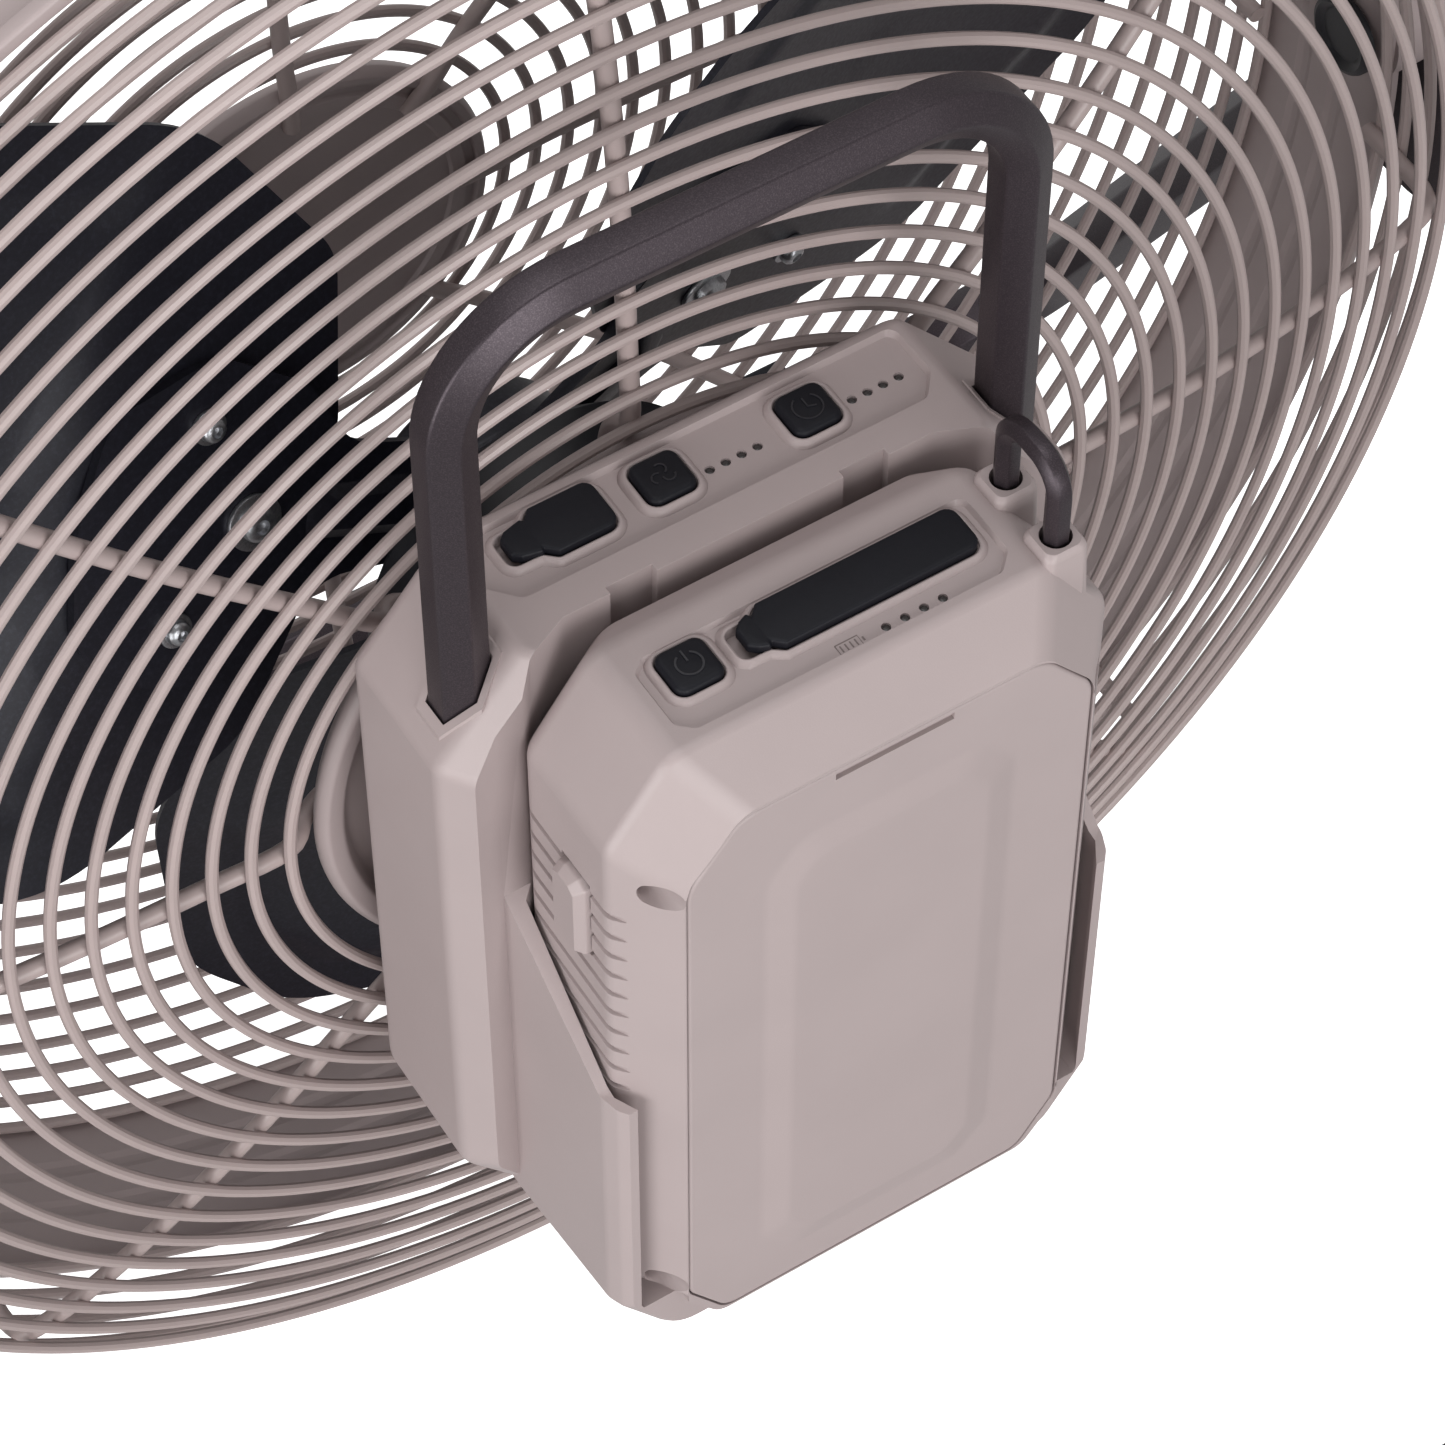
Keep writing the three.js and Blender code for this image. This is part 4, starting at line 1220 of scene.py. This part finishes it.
def cooling_grooves(side):
    """Rounded slots along one side that turn the corner and run out on the rear chamfer."""
    out = Solid()
    bottom = [(56.2, 79.0), (56.2, 109.8), (54.7, 112.4), (54.3, 113.8)]
    for k in range(GROOVES):
        z = GROOVE_TOP - GROOVE_PITCH * k
        points = [(side * x, y, z + (114.0 - y) * 0.03) for x, y in bottom]
        heights = [1.25, 1.25, 1.1, 0.45]
        verts = []
        for (x, y, w), h in zip(points, heights):
            verts += [(x, y, w - h * 0.62), (x, y, w + h * 0.62)]
            out_x, out_y = (x + side * 6.0, y) if y < 110 else (x + side * 4.6, y + 4.0)
            verts += [(out_x, out_y, w + h * 1.5), (out_x, out_y, w - h * 1.5)]
        faces = [[0, 1, 2, 3], [15, 14, 13, 12]]
        for j in range(3):
            for i in range(4):
                q = (i + 1) % 4
                faces.append([4 * j + i, 4 * j + q, 4 * j + 4 + q, 4 * j + 4 + i])
        out.put(verts, faces)
    return out


for side in (1, -1):
    x0, x1 = sorted((side * 51.0, side * 60.0))
    y0, y1, z0, z1 = LATCH
    cut(pack, block(x0, x1, y0 - 0.4, y1 + 0.4, z0 - 0.4, z1 + 0.4))
    cut(pack, cooling_grooves(side))
SCREWS = [(50.4, 320.0), (50.4, 178.0)]
HOLE = [(0.0, 103.0), (2.1, 103.0), (2.1, 124.0), (0.0, 124.0)]
MOUTH = [(0.0, 113.6), (2.2, 113.6), (3.3, 115.4), (3.8, 124.0), (0.0, 124.0)]
HEAD = [(0.0, 98.0), (1.2, 98.0), (1.2, 103.2), (1.85, 103.2), (1.85, 104.9), (1.5, 105.3)]
HEAD += [(0.8, 105.3), (0.6, 104.4), (0.0, 104.4)]
for side in (1, -1):
    for x, z in SCREWS:
        cut(pack, lathe(MOUTH, 32, (side * x, 0.0, z + 0.3)))
        cut(pack, lathe(HOLE, 32, (side * x, 0.0, z)))
bevel(pack, 0.35, 2, 40.0)
weighted(pack, 45.0)
place(pack, "battery", "battery_shell", slot="taupe_plastic")

rims = collar(square(*POWER, HALF), [2.3] * 4, PACK_FLOOR, 1.05, 0.8)
rims.add(collar(*well(*PORT, PORT_REACH), PACK_FLOOR, 1.0, 0.7))
place(rims.make("power_collar", TAUPE, 50.0), "battery", slot="taupe_plastic")
MARK = (0.42, 351.02, 351.2)
marks = Solid()
marks.add(band(arc(POWER, 2.7, -60, 240, 28), *MARK))
marks.add(band([(POWER[0], POWER[1] - 3.4), (POWER[0], POWER[1] - 0.6)], *MARK))
marked(soft_pad(square(*POWER, HALF), 2.3, 343.0, 351.0), marks, "power_button")
cover_pad(PORT, 349.3, 351.5, 2.6, "port_cover")
lamps(PACK_LAMPS, 338, 348.3, "battery_lamps", "battery", "battery_light_pipe")

# Small printed battery sign beside the lamps.
sign = Solid()
bx, by = -0.4, 105.2
PRINTED = (PACK_FLOOR, PACK_FLOOR + 0.06)
edge = [(bx + 2.6, by - 1.3), (bx - 2.4, by - 1.3), (bx - 2.4, by + 1.3), (bx + 2.6, by + 1.3)]
sign.add(band(edge + edge[:1], 0.26, *PRINTED))
for k in range(4):
    bar_x = bx + 1.8 - 1.1 * k
    sign.add(band([(bar_x, by - 0.8), (bar_x, by + 0.8)], 0.3, *PRINTED))
sign.add(band([(bx - 3.1, by - 0.5), (bx - 3.1, by + 0.5)], 0.4, *PRINTED))
place(sign.make("battery_sign", PRINT), "battery", slot="taupe_plastic")

cover = loft(
    [
        (119.9, rounded(COVER, COVER_FILLET, 6)),
        (121.6, rounded(COVER, COVER_FILLET, 6)),
        (122.0, rounded(inset(COVER, 0.5), COVER_FILLET, 6)),
        (122.0, rounded(RAISED_LOW, COVER_FILLET, 6)),
        (123.1, rounded(RAISED_TOP, COVER_FILLET, 6)),
        (123.1, rounded(RAISED_IN, COVER_FILLET, 6)),
    ],
    "y",
    reach=[0, 0.4, 0.4, 1.2, 1.2, 0],
    pieces=5,
).make("battery_cover_panel", TAUPE)
cut(cover, block(-13.4, 13.4, 121.0, 125.0, 335.4, 337.4))
weighted(cover, 45.0)
place(cover, "battery", "battery_cover", slot="taupe_plastic")

loop_flat = rounded(
    [(LOOP_Y[0], 344), (LOOP_Y[0], 370.6), (LOOP_Y[1], 370.6), (LOOP_Y[1], 344)],
    [0, 6.6, 6.6, 0],
    10,
    closed=False,
)
loop = sweep([(LOOP_X, y, z) for y, z in loop_flat], hexagon(2.8, 2.45, 0.5, 2), (1, 0, 0))
place(loop.make("battery_loop_bar", PLUM, 40.0), "battery", "battery_loop", slot="plum_metallic")

for side, name in ((1, "left"), (-1, "right")):
    y0, y1, z0, z1 = LATCH
    shape = [(y0, z0), (y1, z0), (y1, z1 - 1.5), (y1 - 2.5, z1), (y0 + 2.5, z1), (y0, z1 - 1.5)]
    face = [(y0 + 0.5, z0 + 0.9), (y1 - 1.6, z0 + 0.9), (y1 - 1.6, z1 - 3.4), (y1 - 3.4, z1 - 2.0)]
    face += [(y0 + 2.5, z1 - 2.0), (y0 + 0.5, z1 - 3.0)]
    latch = loft(
        [
            (side * 54.4, rounded(shape, 0.8, 4)),
            (side * 58.2, rounded(shape, 0.8, 4)),
            (side * 60.0, rounded(face, 0.8, 4)),
        ],
        "x",
        reach=[0, 0.4, 0],
    )
    node = f"battery_latch_{name}"
    place(latch.make(f"{node}_tab", TAUPE), f"latch_{name}", node, slot="taupe_plastic")
for side, across in ((1, "left"), (-1, "right")):
    for (x, z), row in zip(SCREWS, ("top", "bottom")):
        name = f"cover_screw_{row}_{across}"
        screw = lathe(HEAD, 28, (side * x, 0.0, z)).make(name + "_head", STEEL, 35.0)
        place(screw, "battery", name, slot="steel")

# ------------------------------------------------------------------ studio
floor_look = bpy.data.materials.new("pale_floor")
floor_look.use_nodes = True
floor_shader = floor_look.node_tree.nodes["Principled BSDF"]
floor_shader.inputs["Base Color"].default_value = (0.93, 0.93, 0.93, 1.0)
floor_shader.inputs["Roughness"].default_value = 0.9
floor_shader.inputs["Emission Color"].default_value = (1.0, 1.0, 1.0, 1.0)
floor_shader.inputs["Emission Strength"].default_value = 0.85
floor_mesh = bpy.data.meshes.new("floor")
floor_mesh.from_pydata([(-6, -6, 0), (6, -6, 0), (6, 6, 0), (-6, 6, 0)], [], [(0, 1, 2, 3)])
floor_mesh.materials.append(floor_look)
floor = bpy.data.objects.new("floor", floor_mesh)
bpy.context.scene.collection.objects.link(floor)
floor.location.z = -0.0005
floor.visible_diffuse = False
floor.visible_glossy = False

world = bpy.data.worlds.new("studio")
bpy.context.scene.world = world
world.use_nodes = True
world.node_tree.nodes["Background"].inputs["Color"].default_value = (1.0, 0.995, 0.99, 1.0)
world.node_tree.nodes["Background"].inputs["Strength"].default_value = 0.45


def area_light(name, at, aim, size, power):
    data = bpy.data.lights.new(name, "AREA")
    data.shape = "RECTANGLE"
    data.size, data.size_y = size
    data.energy = power
    obj = bpy.data.objects.new(name, data)
    bpy.context.scene.collection.objects.link(obj)
    obj.location = at
    obj.rotation_euler = (Vector(aim) - Vector(at)).to_track_quat("-Z", "Y").to_euler()


LIGHT_SIZE = (1.6, 1.6)
area_light("left", (2.0, 0.8, 0.38), (0.1, 0.1, 0.25), LIGHT_SIZE, 33.0)
area_light("rear", (0.3, 2.3, 0.8), (0.0, 0.1, 0.25), LIGHT_SIZE, 34.0)
area_light("top", (0.1, -0.3, 2.4), (0.0, 0.0, 0.3), LIGHT_SIZE, 17.0)

camera_data = bpy.data.cameras.new("camera")
camera_data.sensor_width = 36.0
camera_data.lens = CAMERA_LENS
camera_data.shift_x, camera_data.shift_y = CAMERA_SHIFT
camera_data.clip_start = 0.01
camera = bpy.data.objects.new("camera", camera_data)
bpy.context.scene.collection.objects.link(camera)
azimuth, elevation = math.radians(CAMERA_AZIMUTH), math.radians(CAMERA_ELEVATION)
back = Vector(
    (
        math.sin(azimuth) * math.cos(elevation),
        -math.cos(azimuth) * math.cos(elevation),
        math.sin(elevation),
    )
)
right = Vector((0, 0, 1)).cross(back).normalized()
over = back.cross(right)
turn = Matrix((right, over, back)).transposed().to_4x4()
camera.matrix_world = Matrix.Translation(Vector(CAMERA_AT) * MM) @ turn
bpy.context.scene.camera = camera
bpy.context.scene.view_settings.view_transform = "Standard"
